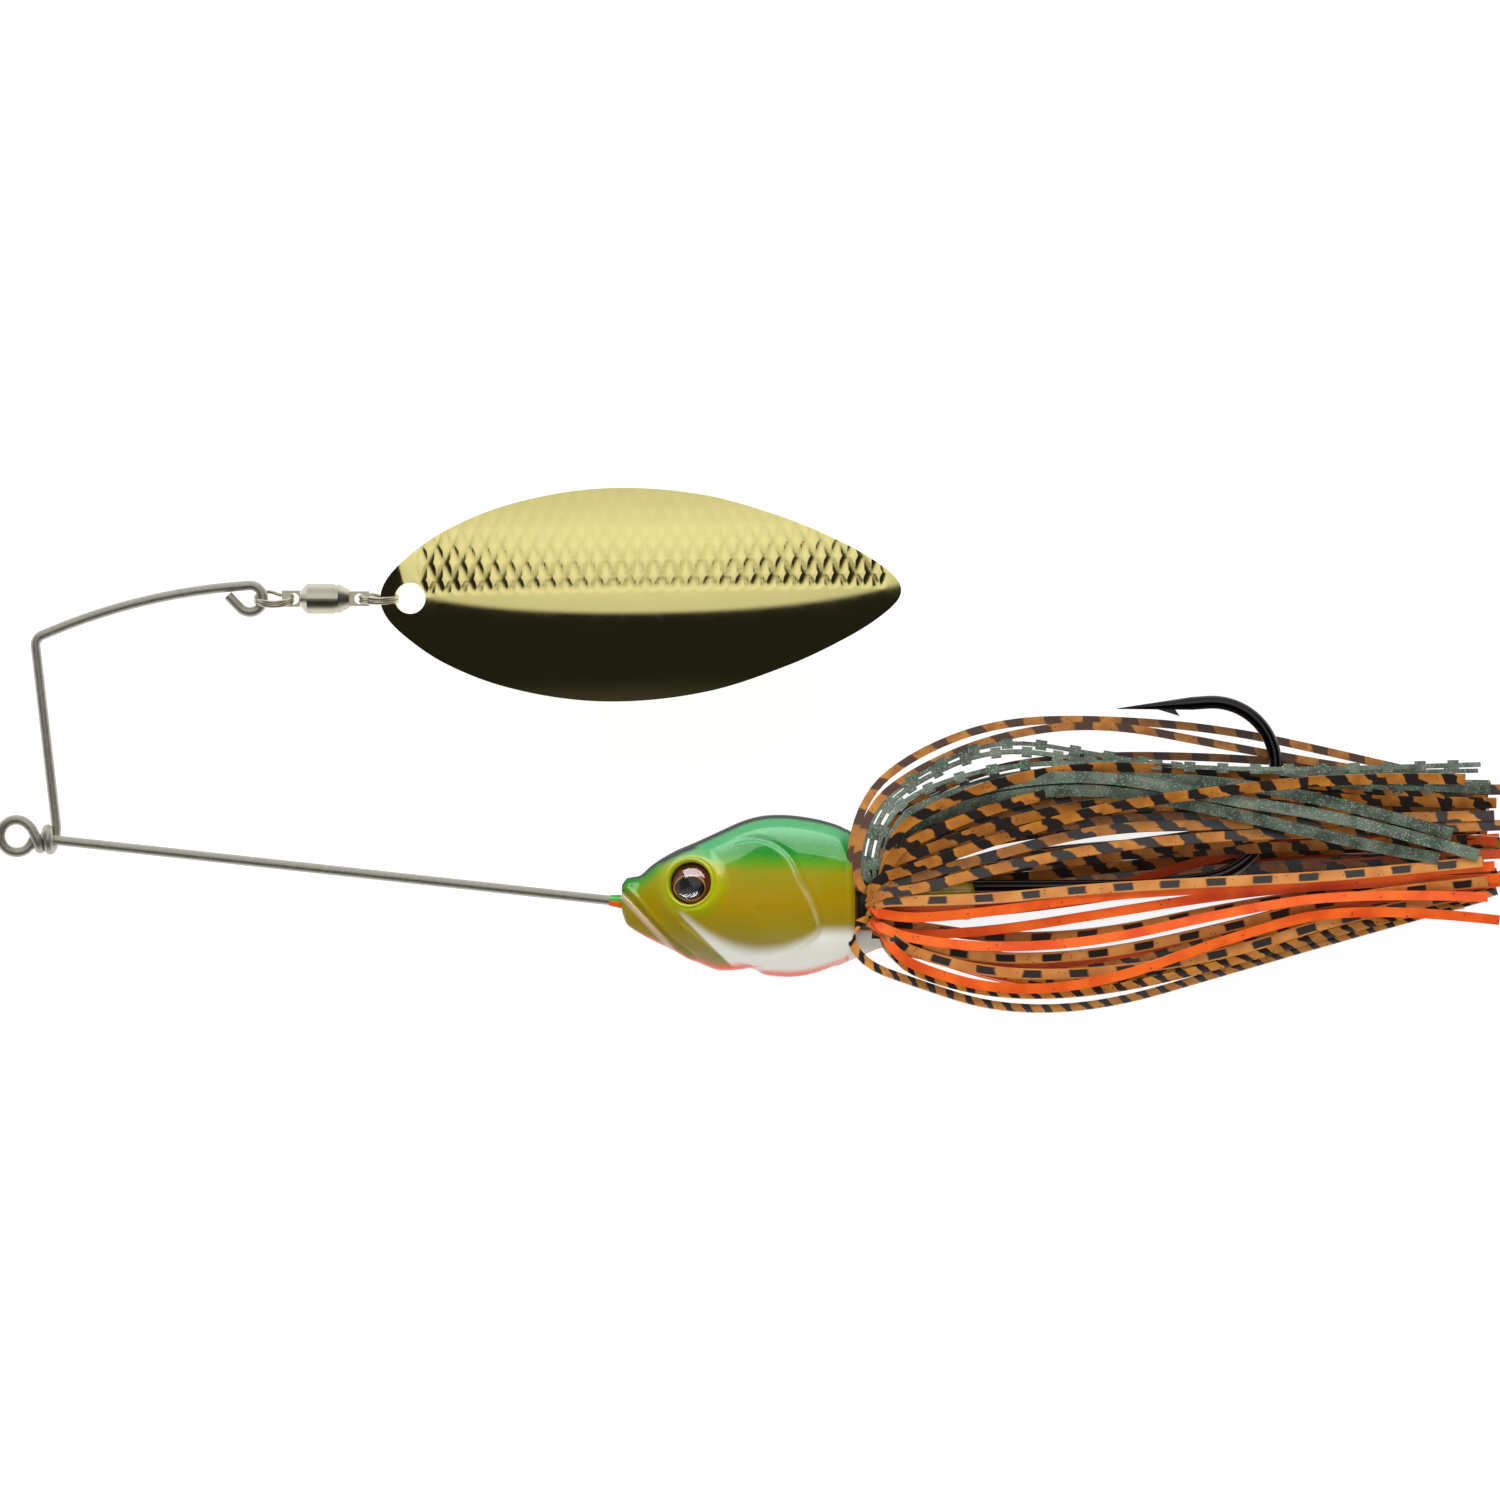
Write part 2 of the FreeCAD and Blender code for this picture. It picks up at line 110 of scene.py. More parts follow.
def smooth_shade(piece, angle=35):
    only(piece)
    bpy.ops.object.shade_smooth_by_angle(angle=math.radians(angle))


def pick(piece, mode, chosen):
    """Selects the faces or edges that chosen is true for, and stays in edit mode."""
    only(piece)
    bpy.ops.object.mode_set(mode="EDIT")
    bpy.ops.mesh.select_mode(type=mode)
    bpy.ops.mesh.select_all(action="DESELECT")
    bpy.ops.object.mode_set(mode="OBJECT")
    for element in piece.data.polygons if mode == "FACE" else piece.data.edges:
        element.select = bool(chosen(element))
    bpy.ops.object.mode_set(mode="EDIT")


def face_outwards(piece):
    only(piece)
    bpy.ops.object.mode_set(mode="EDIT")
    bpy.ops.mesh.select_all(action="SELECT")
    bpy.ops.mesh.remove_doubles(threshold=1e-7)
    bpy.ops.mesh.normals_make_consistent(inside=False)
    bpy.ops.object.mode_set(mode="OBJECT")


def points_of(piece):
    co = np.zeros(len(piece.data.vertices) * 3)
    piece.data.vertices.foreach_get("co", co)
    return co.reshape(-1, 3)


def set_points(piece, points):
    piece.data.vertices.foreach_set("co", np.asarray(points, float).ravel())
    piece.data.update()


def smooth_curve(knots, at):
    """Cubic through (position, value) knots, read at each position."""
    x, y = np.array(knots, float).T
    slope = np.gradient(y, x)
    i = np.clip(np.searchsorted(x, at) - 1, 0, len(x) - 2)
    run = x[i + 1] - x[i]
    t = np.clip((at - x[i]) / run, 0, 1)
    rest = 1 - t
    ends = y[i] * rest ** 2 * (1 + 2 * t) + y[i + 1] * t ** 2 * (3 - 2 * t)
    return ends + run * t * rest * (slope[i] * rest - slope[i + 1] * t)


def step(value, low, high):
    """Rises smoothly from 0 at low to 1 at high."""
    t = np.clip((value - low) / (high - low), 0, 1)
    return t * t * (3 - 2 * t)


def line_distance(back, up, line):
    """Distance to a line of points, and the side: positive above or behind it."""
    best = np.full(back.shape, 1e9)
    side = np.ones(back.shape)
    for (x0, y0), (x1, y1) in zip(line, line[1:]):
        dx, dy = x1 - x0, y1 - y0
        t = np.clip(((back - x0) * dx + (up - y0) * dy) / (dx * dx + dy * dy), 0, 1)
        ox, oy = back - x0 - t * dx, up - y0 - t * dy
        distance = np.hypot(ox, oy)
        closer = distance < best
        best = np.where(closer, distance, best)
        side = np.where(closer, np.sign(dx * oy - dy * ox), side)
    return best, side


# ---- node helpers


class Nodes:
    """Adds shader nodes to one tree and links what they are given."""

    def __init__(self, tree):
        self.tree = tree

    def feed(self, socket, value):
        if isinstance(value, bpy.types.NodeSocket):
            self.tree.links.new(value, socket)
        else:
            socket.default_value = value

    def add(self, kind, inputs=None, **settings):
        node = self.tree.nodes.new(kind if kind.startswith("Node") else "ShaderNode" + kind)
        for key, value in settings.items():
            setattr(node, key, value)
        for key, value in (inputs or {}).items():
            self.feed(node.inputs[key], value)
        return node

    def maths(self, operation, a, b=0.0, c=0.0):
        return self.add("Math", {0: a, 1: b, 2: c}, operation=operation).outputs[0]

    def times(self, a, b):
        return self.maths("MULTIPLY", a, b)

    def plus(self, a, b):
        return self.maths("ADD", a, b)

    def minus(self, a, b):
        return self.maths("SUBTRACT", a, b)

    def ramp(self, value, low, high, start=0.0, end=1.0):
        """Start to end as the value goes from low to high, smoothly."""
        inputs = {"Value": value, "From Min": low, "From Max": high, "To Min": start, "To Max": end}
        return self.add("MapRange", inputs, interpolation_type="SMOOTHSTEP").outputs[0]

    def mix(self, share, a, b):
        return self.add("Mix", {0: share, 6: a, 7: b}, data_type="RGBA").outputs[2]

    def stain(self, mask, strength, a, b):
        """From a towards b by a mask, at most by the strength."""
        return self.mix(self.times(mask, strength), a, b)

    def mottle(self, noise, a, b):
        """Clouds of two colours."""
        return self.mix(self.ramp(noise, 0.3, 0.7), a, b)

    def relief(self, shader, height, strength, distance):
        """Bumps a shader's normal, over a distance in millimetres."""
        bump = self.add("Bump", {"Height": height, "Strength": strength, "Distance": distance * MM})
        self.feed(shader.inputs["Normal"], bump.outputs[0])

    def split(self, vector):
        return self.add("SeparateXYZ", {0: vector}).outputs

    def noise(self, vector, scale, detail=2.0):
        inputs = {"Vector": vector, "Scale": scale, "Detail": detail}
        return self.add("TexNoise", inputs).outputs[0]

    def bands(self, value, stops):
        """A colour ramp through (position, colour) stops."""
        node = self.add("ValToRGB", {0: value})
        elements = node.color_ramp.elements
        while len(elements) < len(stops):
            elements.new(0.5)
        for element, (position, shade) in zip(elements, stops):
            element.position = position
            element.color = shade
        return node.outputs[0]


def new_group(name, inputs, outputs):
    """An empty node group, its builder, its input sockets and its output node."""
    tree = bpy.data.node_groups.new(name, "ShaderNodeTree")
    for kind, direction, sockets in (("in", "INPUT", inputs), ("out", "OUTPUT", outputs)):
        for socket, form in sockets.items():
            tree.interface.new_socket(name=socket, in_out=direction, socket_type="NodeSocket" + form)
    nodes = Nodes(tree)
    given = nodes.add("NodeGroupInput").outputs
    return tree, nodes, given, nodes.add("NodeGroupOutput").inputs


def use_group(nodes, tree, **inputs):
    node = nodes.add("Group", node_tree=tree)
    for key, value in inputs.items():
        nodes.feed(node.inputs[key], value)
    return node.outputs


def new_material(name, **values):
    """A material with one Principled shader, its builder and that shader."""
    material = bpy.data.materials.new(name)
    material.use_nodes = True
    nodes = Nodes(material.node_tree)
    shader = material.node_tree.nodes["Principled BSDF"]
    for key, value in values.items():
        shader.inputs[key.replace("_", " ")].default_value = value
    return material, nodes, shader


def object_mm(nodes, origin=Vector((0, 0, 0))):
    """Object coordinates in millimetres from a place."""
    place = nodes.add("TexCoord").outputs["Object"]
    moved = nodes.add("VectorMath", {0: place, 1: origin}, operation="SUBTRACT").outputs[0]
    return nodes.add("VectorMath", {0: moved, "Scale": 1 / MM}, operation="SCALE").outputs[0]


# ---- shared effects

BAR_BLUR = 0.03                 # softness of a bar's ends, as a share of the pitch
EDGE_BLUR = 0.05                # and of its sides, as a share of the strand's width
FLAKE_REACH = 0.42              # how much of its cell a flake fills


def make_wear_group():
    """Fine scatter of roughness and height, for metal and rubber."""
    tree, nodes, given, out = new_group(
        "fine wear",
        {"Vector": "Vector", "Scale": "Float", "Smoothest": "Float", "Roughest": "Float"},
        {"Roughness": "Float", "Height": "Float", "Shade": "Float"},
    )
    coarse = nodes.noise(given["Vector"], given["Scale"], 4.0)
    fine = nodes.noise(given["Vector"], nodes.times(given["Scale"], 6.0), 2.0)
    blend = nodes.plus(nodes.times(coarse, 0.6), nodes.times(fine, 0.4))
    share = nodes.ramp(blend, 0.35, 0.65)
    span = nodes.minus(given["Roughest"], given["Smoothest"])
    nodes.feed(out["Roughness"], nodes.maths("MULTIPLY_ADD", share, span, given["Smoothest"]))
    nodes.feed(out["Height"], fine)
    nodes.feed(out["Shade"], coarse)
    return tree


def make_bar_group():
    """Dark bars across a strand, from its own length in millimetres and its width from -0.5 to 0.5."""
    tree, nodes, given, out = new_group(
        "strand bars",
        {"Vector": "Vector", "Pitch": "Float", "Share": "Float", "Slant": "Float",
         "Reach": "Float", "Ragged": "Float"},
        {"Mask": "Float", "Tone": "Float"},
    )
    along, across, _ = nodes.split(given["Vector"])
    wobble = nodes.noise(given["Vector"], 0.9, 1.0)
    shift = nodes.times(nodes.minus(wobble, 0.5), given["Ragged"])
    slanted = nodes.maths("MULTIPLY_ADD", across, given["Slant"], nodes.plus(along, shift))
    turn = nodes.maths("FRACT", nodes.maths("DIVIDE", slanted, given["Pitch"]))
    off = nodes.maths("ABSOLUTE", nodes.minus(turn, 0.5))
    half = nodes.times(given["Share"], 0.5)
    inside = nodes.ramp(nodes.minus(half, off), -BAR_BLUR, BAR_BLUR)
    edge = nodes.minus(given["Reach"], nodes.maths("ABSOLUTE", across))
    within = nodes.ramp(edge, -EDGE_BLUR, EDGE_BLUR)
    nodes.feed(out["Mask"], nodes.times(inside, within))
    nodes.feed(out["Tone"], nodes.noise(given["Vector"], 0.35, 2.0))
    return tree


def make_flake_group():
    """Scattered flakes: each cell of a fine net is either a flake or nothing."""
    tree, nodes, given, out = new_group(
        "flakes",
        {"Vector": "Vector", "Scale": "Float", "Share": "Float"},
        {"Mask": "Float", "Tone": "Float"},
    )
    cells = nodes.add("TexVoronoi", {"Vector": given["Vector"], "Scale": given["Scale"]})
    picked, tone, _ = nodes.split(cells.outputs["Color"])
    chosen = nodes.maths("LESS_THAN", picked, given["Share"])
    near = nodes.maths("LESS_THAN", cells.outputs["Distance"], FLAKE_REACH)
    nodes.feed(out["Mask"], nodes.times(chosen, near))
    nodes.feed(out["Tone"], tone)
    return tree


WEAR = make_wear_group()
BARS = make_bar_group()
FLAKES = make_flake_group()

# ---- finishes


def metal(name, tint, smoothest, roughest, scale, bump=0.0, stain=0.82, **values):
    """Bare or plated metal with a fine scatter in its polish."""
    material, nodes, shader = new_material(name, Metallic=1.0, **values)
    wear = use_group(nodes, WEAR, Vector=object_mm(nodes), Scale=scale,
                     Smoothest=smoothest, Roughest=roughest)
    dark = tuple(c * stain for c in tint[:3]) + (1.0,)
    nodes.feed(shader.inputs["Base Color"], nodes.mottle(wear["Shade"], dark, tint))
    nodes.feed(shader.inputs["Roughness"], wear["Roughness"])
    if bump:
        nodes.relief(shader, wear["Height"], bump, 0.02)
    return material


def gold_plate():
    """Polished gold, matt in the pressed grooves, with painted shade darkening them."""
    material, nodes, shader = new_material("gold plate", Metallic=1.0)
    wear = use_group(nodes, WEAR, Vector=object_mm(nodes), Scale=0.5, Smoothest=0.05, Roughest=0.08)
    groove = nodes.add("Attribute", attribute_name="groove").outputs["Fac"]
    polish = nodes.mottle(wear["Shade"], colour(234, 222, 148), colour(238, 226, 152))
    # Painted shade: the pressed grooves are darkened towards brown gold.
    nodes.feed(shader.inputs["Base Color"], nodes.stain(groove, 0.5, polish, colour(196, 176, 92)))
    nodes.feed(shader.inputs["Roughness"], nodes.maths("MULTIPLY_ADD", groove, 0.5, wear["Roughness"]))
    return material


PAINT_BANDS = [                 # height on the head, colour
    (-5.5, (150, 138, 82)),
    (-2.4, (148, 130, 24)),
    (0.2, (158, 128, 0)),
    (3.0, (140, 134, 0)),
    (3.8, (84, 140, 0)),
    (4.6, (10, 124, 14)),
    (6.6, (6, 110, 44)),
    (8.4, (2, 62, 30)),
]
PAINT_FLOOR, PAINT_TOP = -6.0, 8.6
BELLY_LOW_AT = 13.5             # the pearl belly's edge is lowest this far back
BELLY_EDGE = -4.9
BELLY_RISE = 0.058


def flank_bands(nodes, place, back, up):
    """Level bands that rise on the snout and wander a little, and are lighter round the eye."""
    snout = nodes.ramp(back, 5.5, 0.5, 0.0, 2.6)
    drift = nodes.times(nodes.minus(nodes.noise(place, 0.35), 0.5), 0.9)
    level = nodes.plus(nodes.plus(up, snout), drift)
    span = PAINT_TOP - PAINT_FLOOR
    share = nodes.maths("DIVIDE", nodes.minus(level, PAINT_FLOOR), span)
    flank = nodes.bands(share, [((height - PAINT_FLOOR) / span, colour(*shade))
                                for height, shade in PAINT_BANDS])
    eye = nodes.add("VectorMath", {0: place, 1: EYE_IN_HEAD}, operation="SUBTRACT").outputs[0]
    flat = nodes.add("VectorMath", {0: eye, 1: (1, 1, 0)}, operation="MULTIPLY").outputs[0]
    eye_distance = nodes.add("VectorMath", {0: flat}, operation="LENGTH").outputs["Value"]
    return nodes.mix(nodes.ramp(eye_distance, 3.9, 2.5), flank, colour(160, 162, 0))


def belly_mask(nodes, back, up):
    """The pearl belly dips behind the mouth, and stops at the jaw's line."""
    within = nodes.maths("MAXIMUM", nodes.maths("MINIMUM", back, 19.2), 6.0)
    bend = nodes.minus(within, BELLY_LOW_AT)
    edge = nodes.maths("MULTIPLY_ADD", nodes.times(bend, bend), BELLY_RISE, BELLY_EDGE)
    pearl = nodes.ramp(nodes.minus(up, edge), 1.1, -0.5)
    behind_jaw = nodes.ramp(nodes.plus(back, up), 4.2, 4.7)
    return nodes.times(pearl, behind_jaw)


def under_mask(nodes, normal, side):
    """The line along the very bottom."""
    inner = nodes.ramp(nodes.maths("ABSOLUTE", side), 3.3, 1.7)
    return nodes.times(nodes.ramp(normal[1], -0.68, -0.96), inner)


def ridge_mask(nodes, normal, side):
    """The line along the top of the back."""
    edge_on = nodes.ramp(nodes.maths("ABSOLUTE", normal[2]), 0.52, 0.3)
    ridge = nodes.times(edge_on, nodes.ramp(normal[1], 0.3, 0.5))
    return nodes.times(ridge, nodes.ramp(nodes.maths("ABSOLUTE", side), 3.2, 2.2))


def lip_highlight_mask(nodes, back, up):
    """A painted highlight on the lower lip, along a slope from the nose down to the jaw."""
    slope = nodes.maths("MULTIPLY_ADD", back, 1.05, -0.59)
    lip = nodes.maths("ABSOLUTE", nodes.plus(slope, up))
    return nodes.times(nodes.ramp(lip, 0.6, 0.15), nodes.ramp(back, 5.8, 4.4))


def paint_ends(nodes, painted, back, up, normal):
    """The skirt keeper behind the head, and the paint's end on the wire before it."""
    post = nodes.times(nodes.ramp(back, 22.45, 22.6), nodes.ramp(up, -2.9, -2.6))
    post_paint = nodes.mix(nodes.ramp(up, 0.5, -0.8), colour(150, 128, 16), colour(228, 104, 60))
    painted = nodes.mix(post, painted, post_paint)
    neck_paint = nodes.mix(nodes.ramp(normal[1], 0.15, -0.15), colour(40, 150, 40), colour(225, 95, 30))
    return nodes.mix(nodes.ramp(back, 0.0, -0.15), painted, neck_paint)


def head_paint():
    """Green back over olive gold flanks and a pearl belly, with an orange line under it, and painted
    reflection and highlights on the upper back, the gill edge and the lower lip.
    """
    material, nodes, shader = new_material(
        "perch paint", Roughness=0.4, Specular_IOR_Level=0.05, Coat_Roughness=0.03, Coat_IOR=1.2)
    place = object_mm(nodes, NOSE)
    back, up, side = nodes.split(place)
    normal = nodes.split(nodes.add("NewGeometry").outputs["Normal"])
    painted = flank_bands(nodes, place, back, up)
    painted = nodes.mix(belly_mask(nodes, back, up), painted, colour(242, 241, 230))
    painted = nodes.mix(under_mask(nodes, normal, side), painted, colour(250, 84, 40))
    # Painted reflection: mint on the upper back, lighter where the surface faces up towards the softbox.
    mint_reflection = nodes.times(nodes.ramp(normal[1], 0.42, 0.7), nodes.ramp(up, 3.0, 4.6))
    painted = nodes.stain(mint_reflection, 0.75, painted, colour(86, 172, 114))
    ridge = ridge_mask(nodes, normal, side)
    painted = nodes.mix(ridge, painted, colour(4, 16, 14))
    coat = nodes.minus(1.0, nodes.times(ridge, 0.8))
    nodes.feed(shader.inputs["Coat Weight"], coat)
    # Painted highlight along the gill plate's rear edge.
    gill_highlight = nodes.add("Attribute", attribute_name="gill edge").outputs["Fac"]
    painted = nodes.stain(gill_highlight, 0.4, painted, colour(222, 224, 176))
    # Painted highlight on the lower lip.
    painted = nodes.stain(lip_highlight_mask(nodes, back, up), 0.6, painted, colour(226, 196, 178))
    painted = paint_ends(nodes, painted, back, up, normal)

    pearl = use_group(nodes, FLAKES, Vector=place, Scale=9.0, Share=0.35)["Mask"]
    nodes.feed(shader.inputs["Base Color"], nodes.stain(pearl, 0.03, painted, colour(250, 250, 215)))
    nodes.feed(shader.inputs["Metallic"], nodes.times(pearl, 0.12))
    nodes.relief(shader, nodes.noise(place, 0.8), 0.12, 0.08)
    return material


PUPIL = (-0.12, -0.42, 1.34, 1.04)      # place from the foil's centre, half width, half height
GOLD_RING = (1.17, 1.11)                # where the ring round the pupil begins, in pupils
PUPIL_EDGE = (1.04, 1.0)
OUTLINE = (1.78, 1.84)                  # where the black outline begins, in millimetres


def eye_print(name, side):
    """Printed foil: black outline, red-brown iris, thin gold ring and a low oval pupil."""
    material, nodes, shader = new_material("eye foil " + name, Metallic=0.55, Roughness=0.3)
    offset = nodes.add("VectorMath", {0: object_mm(nodes), 1: middle("eye_foil_" + name) / MM},
                       operation="SUBTRACT").outputs[0]
    axis = eye_axis(side)
    across = Vector((1, 0, 0)) - axis * axis.x
    across.normalize()
    upright = axis.cross(across) if side > 0 else across.cross(axis)

    def along(direction):
        return nodes.add("VectorMath", {0: offset, 1: direction}, operation="DOT_PRODUCT").outputs["Value"]

    def oval(x, y, width, height):
        u = nodes.maths("DIVIDE", nodes.minus(along(across), x), width)
        v = nodes.maths("DIVIDE", nodes.minus(along(upright), y), height)
        squares = nodes.plus(nodes.times(u, u), nodes.times(v, v))
        return nodes.maths("SQRT", squares)

    rim = oval(0, 0, 1, 1)
    pupil = oval(*PUPIL)
    iris = nodes.bands(rim, [(0.0, colour(170, 70, 40)), (0.55, colour(158, 44, 36)),
                             (1.0, colour(120, 26, 28))])
    shown = nodes.stain(nodes.noise(offset, 5.0), 0.35, iris, colour(196, 96, 60))
    shown = nodes.mix(nodes.ramp(pupil, *GOLD_RING), shown, colour(205, 150, 60))
    shown = nodes.mix(nodes.ramp(pupil, *PUPIL_EDGE), shown, colour(14, 10, 10))
    shown = nodes.mix(nodes.ramp(rim, *OUTLINE), shown, colour(20, 16, 14))
    nodes.feed(shader.inputs["Base Color"], shown)
    return material


def clear_resin():
    material, nodes, shader = new_material("clear resin", Transmission_Weight=1.0, IOR=1.5)
    wear = use_group(nodes, WEAR, Vector=object_mm(nodes), Scale=0.9, Smoothest=0.0, Roughest=0.03)
    nodes.feed(shader.inputs["Roughness"], wear["Roughness"])
    return material


def rubber():
    material, nodes, shader = new_material("collar rubber")
    wear = use_group(nodes, WEAR, Vector=object_mm(nodes), Scale=4.0, Smoothest=0.3, Roughest=0.5)
    nodes.feed(shader.inputs["Base Color"], nodes.mix(wear["Shade"], colour(12, 13, 13), colour(30, 31, 30)))
    nodes.feed(shader.inputs["Roughness"], wear["Roughness"])
    nodes.relief(shader, wear["Height"], 0.3, 0.03)
    return material


def strand_finish(name, clear, dense, pitch, share, slant, reach, ragged, bar=colour(36, 29, 26)):
    """Amber silicone, cloudy from dense to clear, with printed bars and a few dark specks."""
    material, nodes, shader = new_material(name, Roughness=0.36, Coat_Weight=0.25, Coat_Roughness=0.2)
    length_and_width = nodes.add("UVMap", uv_map="UVMap").outputs[0]
    bars = use_group(nodes, BARS, Vector=length_and_width, Pitch=pitch, Share=share,
                     Slant=slant, Reach=reach, Ragged=ragged)
    silicone = nodes.mottle(bars["Tone"], dense, clear)
    specks = use_group(nodes, FLAKES, Vector=object_mm(nodes), Scale=5.0, Share=0.04)
    silicone = nodes.stain(specks["Mask"], 0.8, silicone, colour(60, 40, 24))
    nodes.feed(shader.inputs["Base Color"], nodes.mix(bars["Mask"], silicone, bar))
    nodes.relief(shader, nodes.noise(object_mm(nodes), 2.5), 0.2, 0.05)
    return material


def smoke_silicone():
    """Grey-green silicone filled with green glitter."""
    material, nodes, shader = new_material(
        "smoke glitter silicone", Roughness=0.34, Coat_Weight=0.3, Coat_Roughness=0.2, Alpha=0.86)
    place = object_mm(nodes)
    base = nodes.mottle(nodes.noise(place, 0.5), colour(64, 72, 64), colour(112, 120, 106))
    green = use_group(nodes, FLAKES, Vector=place, Scale=5.5, Share=0.26)
    bright = nodes.mix(green["Tone"], colour(8, 96, 62), colour(60, 190, 120))
    pale = use_group(nodes, FLAKES, Vector=place, Scale=7.5, Share=0.2)
    shade = nodes.mix(green["Mask"], base, bright)
    shade = nodes.stain(pale["Mask"], 0.7, shade, colour(190, 196, 184))
    nodes.feed(shader.inputs["Base Color"], shade)
    nodes.feed(shader.inputs["Metallic"], nodes.times(green["Mask"], 0.6))
    return material


def orange_silicone():
    material, nodes, shader = new_material(
        "fluorescent orange silicone", Roughness=0.36, Coat_Weight=0.25, Coat_Roughness=0.2)
    place = object_mm(nodes)
    shade = nodes.mottle(nodes.noise(place, 0.3), colour(222, 74, 8), colour(248, 106, 26))
    specks = use_group(nodes, FLAKES, Vector=place, Scale=4.0, Share=0.03)
    shade = nodes.stain(specks["Mask"], 0.7, shade, colour(120, 40, 20))
    nodes.feed(shader.inputs["Base Color"], shade)
    nodes.relief(shader, nodes.noise(place, 2.5), 0.2, 0.05)
    return material


def paint_piece(piece, material):
    piece.data.materials.clear()
    piece.data.materials.append(material)


def finish_piece(piece, material, slot, *nodes, body="lure"):
    """Gives a piece its material and the body it moves with, and hides the CAD nodes it stands for; the slot
    is not used.
    """
    paint_piece(piece, material)
    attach(piece, body)
    if nodes:
        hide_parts(*nodes)


# ---- head

EYE_LEAN_BACK = math.radians(14)
EYE_LEAN_DOWN = math.radians(8)
EYE_IN_HEAD = (middle("eye_foil_near") - NOSE) / MM
HEAD_LENGTH = 22.4
WIDEST = 0.3                    # height of the widest level, above the wire's entry
HEAD_PROFILE = [                # distance back from the nose, top, bottom, half thickness
    (0.0, 1.55, -1.0, 0.95),
    (0.35, 2.12, -1.95, 1.3),
    (1.0, 2.36, -2.6, 1.8),
    (1.7, 2.5, -3.05, 2.15),
    (2.8, 3.44, -3.65, 2.8),
    (4.7, 4.66, -4.55, 3.7),
    (7.3, 5.82, -5.8, 4.5),
    (9.6, 6.88, -6.58, 4.95),
    (11.6, 7.76, -6.52, 5.15),
    (12.4, 8.02, -6.4, 5.18),
    (13.5, 8.26, -6.95, 5.2),
    (15.2, 8.36, -7.22, 5.2),
    (17.5, 8.16, -7.12, 5.1),
    (19.5, 7.76, -6.55, 4.75),
    (21.4, 7.06, -5.75, 4.15),
    (22.1, 6.62, -5.4, 3.85),
    (22.4, 6.1, -4.9, 3.4),
]
KEEL_PROFILE = [                # the same, for the keel that runs back under the keeper
    (18.5, -3.4, -6.2, 2.0),
    (20.5, -2.0, -6.2, 1.7),
    (22.6, -1.4, -5.35, 1.3),
    (24.4, -1.3, -4.6, 1.0),
    (26.0, -1.5, -3.85, 0.6),
    (26.5, -2.2, -3.1, 0.2),
]
GILL_CENTRE = (12.5, -0.5)
GILL_EDGE = [                   # angle about the gill's centre, reach
    (-105, 5.3), (-87, 5.44), (-61, 5.56), (-36, 6.22), (-18, 6.79), (-5, 6.17),
    (29, 5.26), (59, 5.99), (84, 6.34), (105, 6.3),
]
GILL_ANGLE = 105
GILL_RISE = 0.4
MOUTH_LINE = [(0.2, 1.0), (1.2, 0.1), (2.4, -1.3), (3.9, -2.8), (5.6, -4.2), (7.2, -5.2)]
JAW_LINE = [(4.3, 0.3), (4.7, -0.4), (5.7, -1.85), (7.3, -3.25), (8.5, -4.2), (9.5, -5.1)]
EYE_SEAT = 2.12                 # radius of the seat's floor
SEAT_DEPTH = 0.12               # the floor lies this far under the foil's middle
EYE_RIM = {"major_radius": 2.27, "minor_radius": 0.23}
EYE_RIM_LIFT = 0.42
ORBIT_RADIUS = 3.25
KEEPER_RADIUS = 1.95
KEEPER_LENGTH = 11.5
KEEPER_START = 21.6
NECK = {"radius1": 0.52, "radius2": 0.72, "depth": 1.7}
NECK_PLACE = (-0.35, 0.04, 0)
WIRE_SLOPE = math.radians(-6.2)
FLANK_BULGE = 0.86              # below 1 the sides are fuller than an oval's


def eye_axis(side):
    axis = Vector((-math.sin(EYE_LEAN_BACK), math.sin(EYE_LEAN_DOWN), 0))
    axis.z = side * math.sqrt(1 - axis.length_squared)
    return axis


def lofted(name, profile, rings, segments, relief=None):
    """A ball drawn out along X through the profile, in millimetres from the nose."""
    deselect()
    bpy.ops.mesh.primitive_uv_sphere_add(segments=segments, ring_count=rings, radius=1,
                                         rotation=(0, math.pi / 2, 0))
    ball = bpy.context.object
    settle(ball)
    unit = points_of(ball)
    table = np.array(profile)
    start, end = table[0, 0], table[-1, 0]
    back = start + (end - start) * (unit[:, 0] + 1) / 2
    turn = np.arctan2(unit[:, 1], unit[:, 2])
    at_pole = np.hypot(unit[:, 1], unit[:, 2]) < 1e-5
    top, bottom, half = (smooth_curve(table[:, [0, i]], back) for i in (1, 2, 3))
    level = np.clip(WIDEST, bottom + 0.3 * (top - bottom), top - 0.3 * (top - bottom))
    rise, width = np.sin(turn), np.cos(turn)
    height = np.where(rise > 0, top - level, level - bottom)
    up = level + height * rise
    side = half * np.sign(width) * np.abs(width) ** FLANK_BULGE
    if relief is not None:
        lean = np.hypot(rise / height, width / half)
        raised = relief(back, up) * (np.abs(width) > 0.05)
        up = up + raised * rise / height / lean
        side = side + raised * width / half / lean
    up = np.where(at_pole, level, up)
    side = np.where(at_pole, 0, side)
    set_points(ball, np.stack([back, up, side], 1))
    ball.name = name
    return ball


def gill_depth(back, up):
    """How far inside the gill plate's edge a point is."""
    dx, dy = back - GILL_CENTRE[0], up - GILL_CENTRE[1]
    angle = np.degrees(np.arctan2(dy, dx))
    return smooth_curve(GILL_EDGE, np.clip(angle, -GILL_ANGLE, GILL_ANGLE)) - np.hypot(dx, dy)


def bead(distance, width):
    """A rounded bead, one high, where the distance is zero."""
    return np.exp(-(distance / width) ** 2)


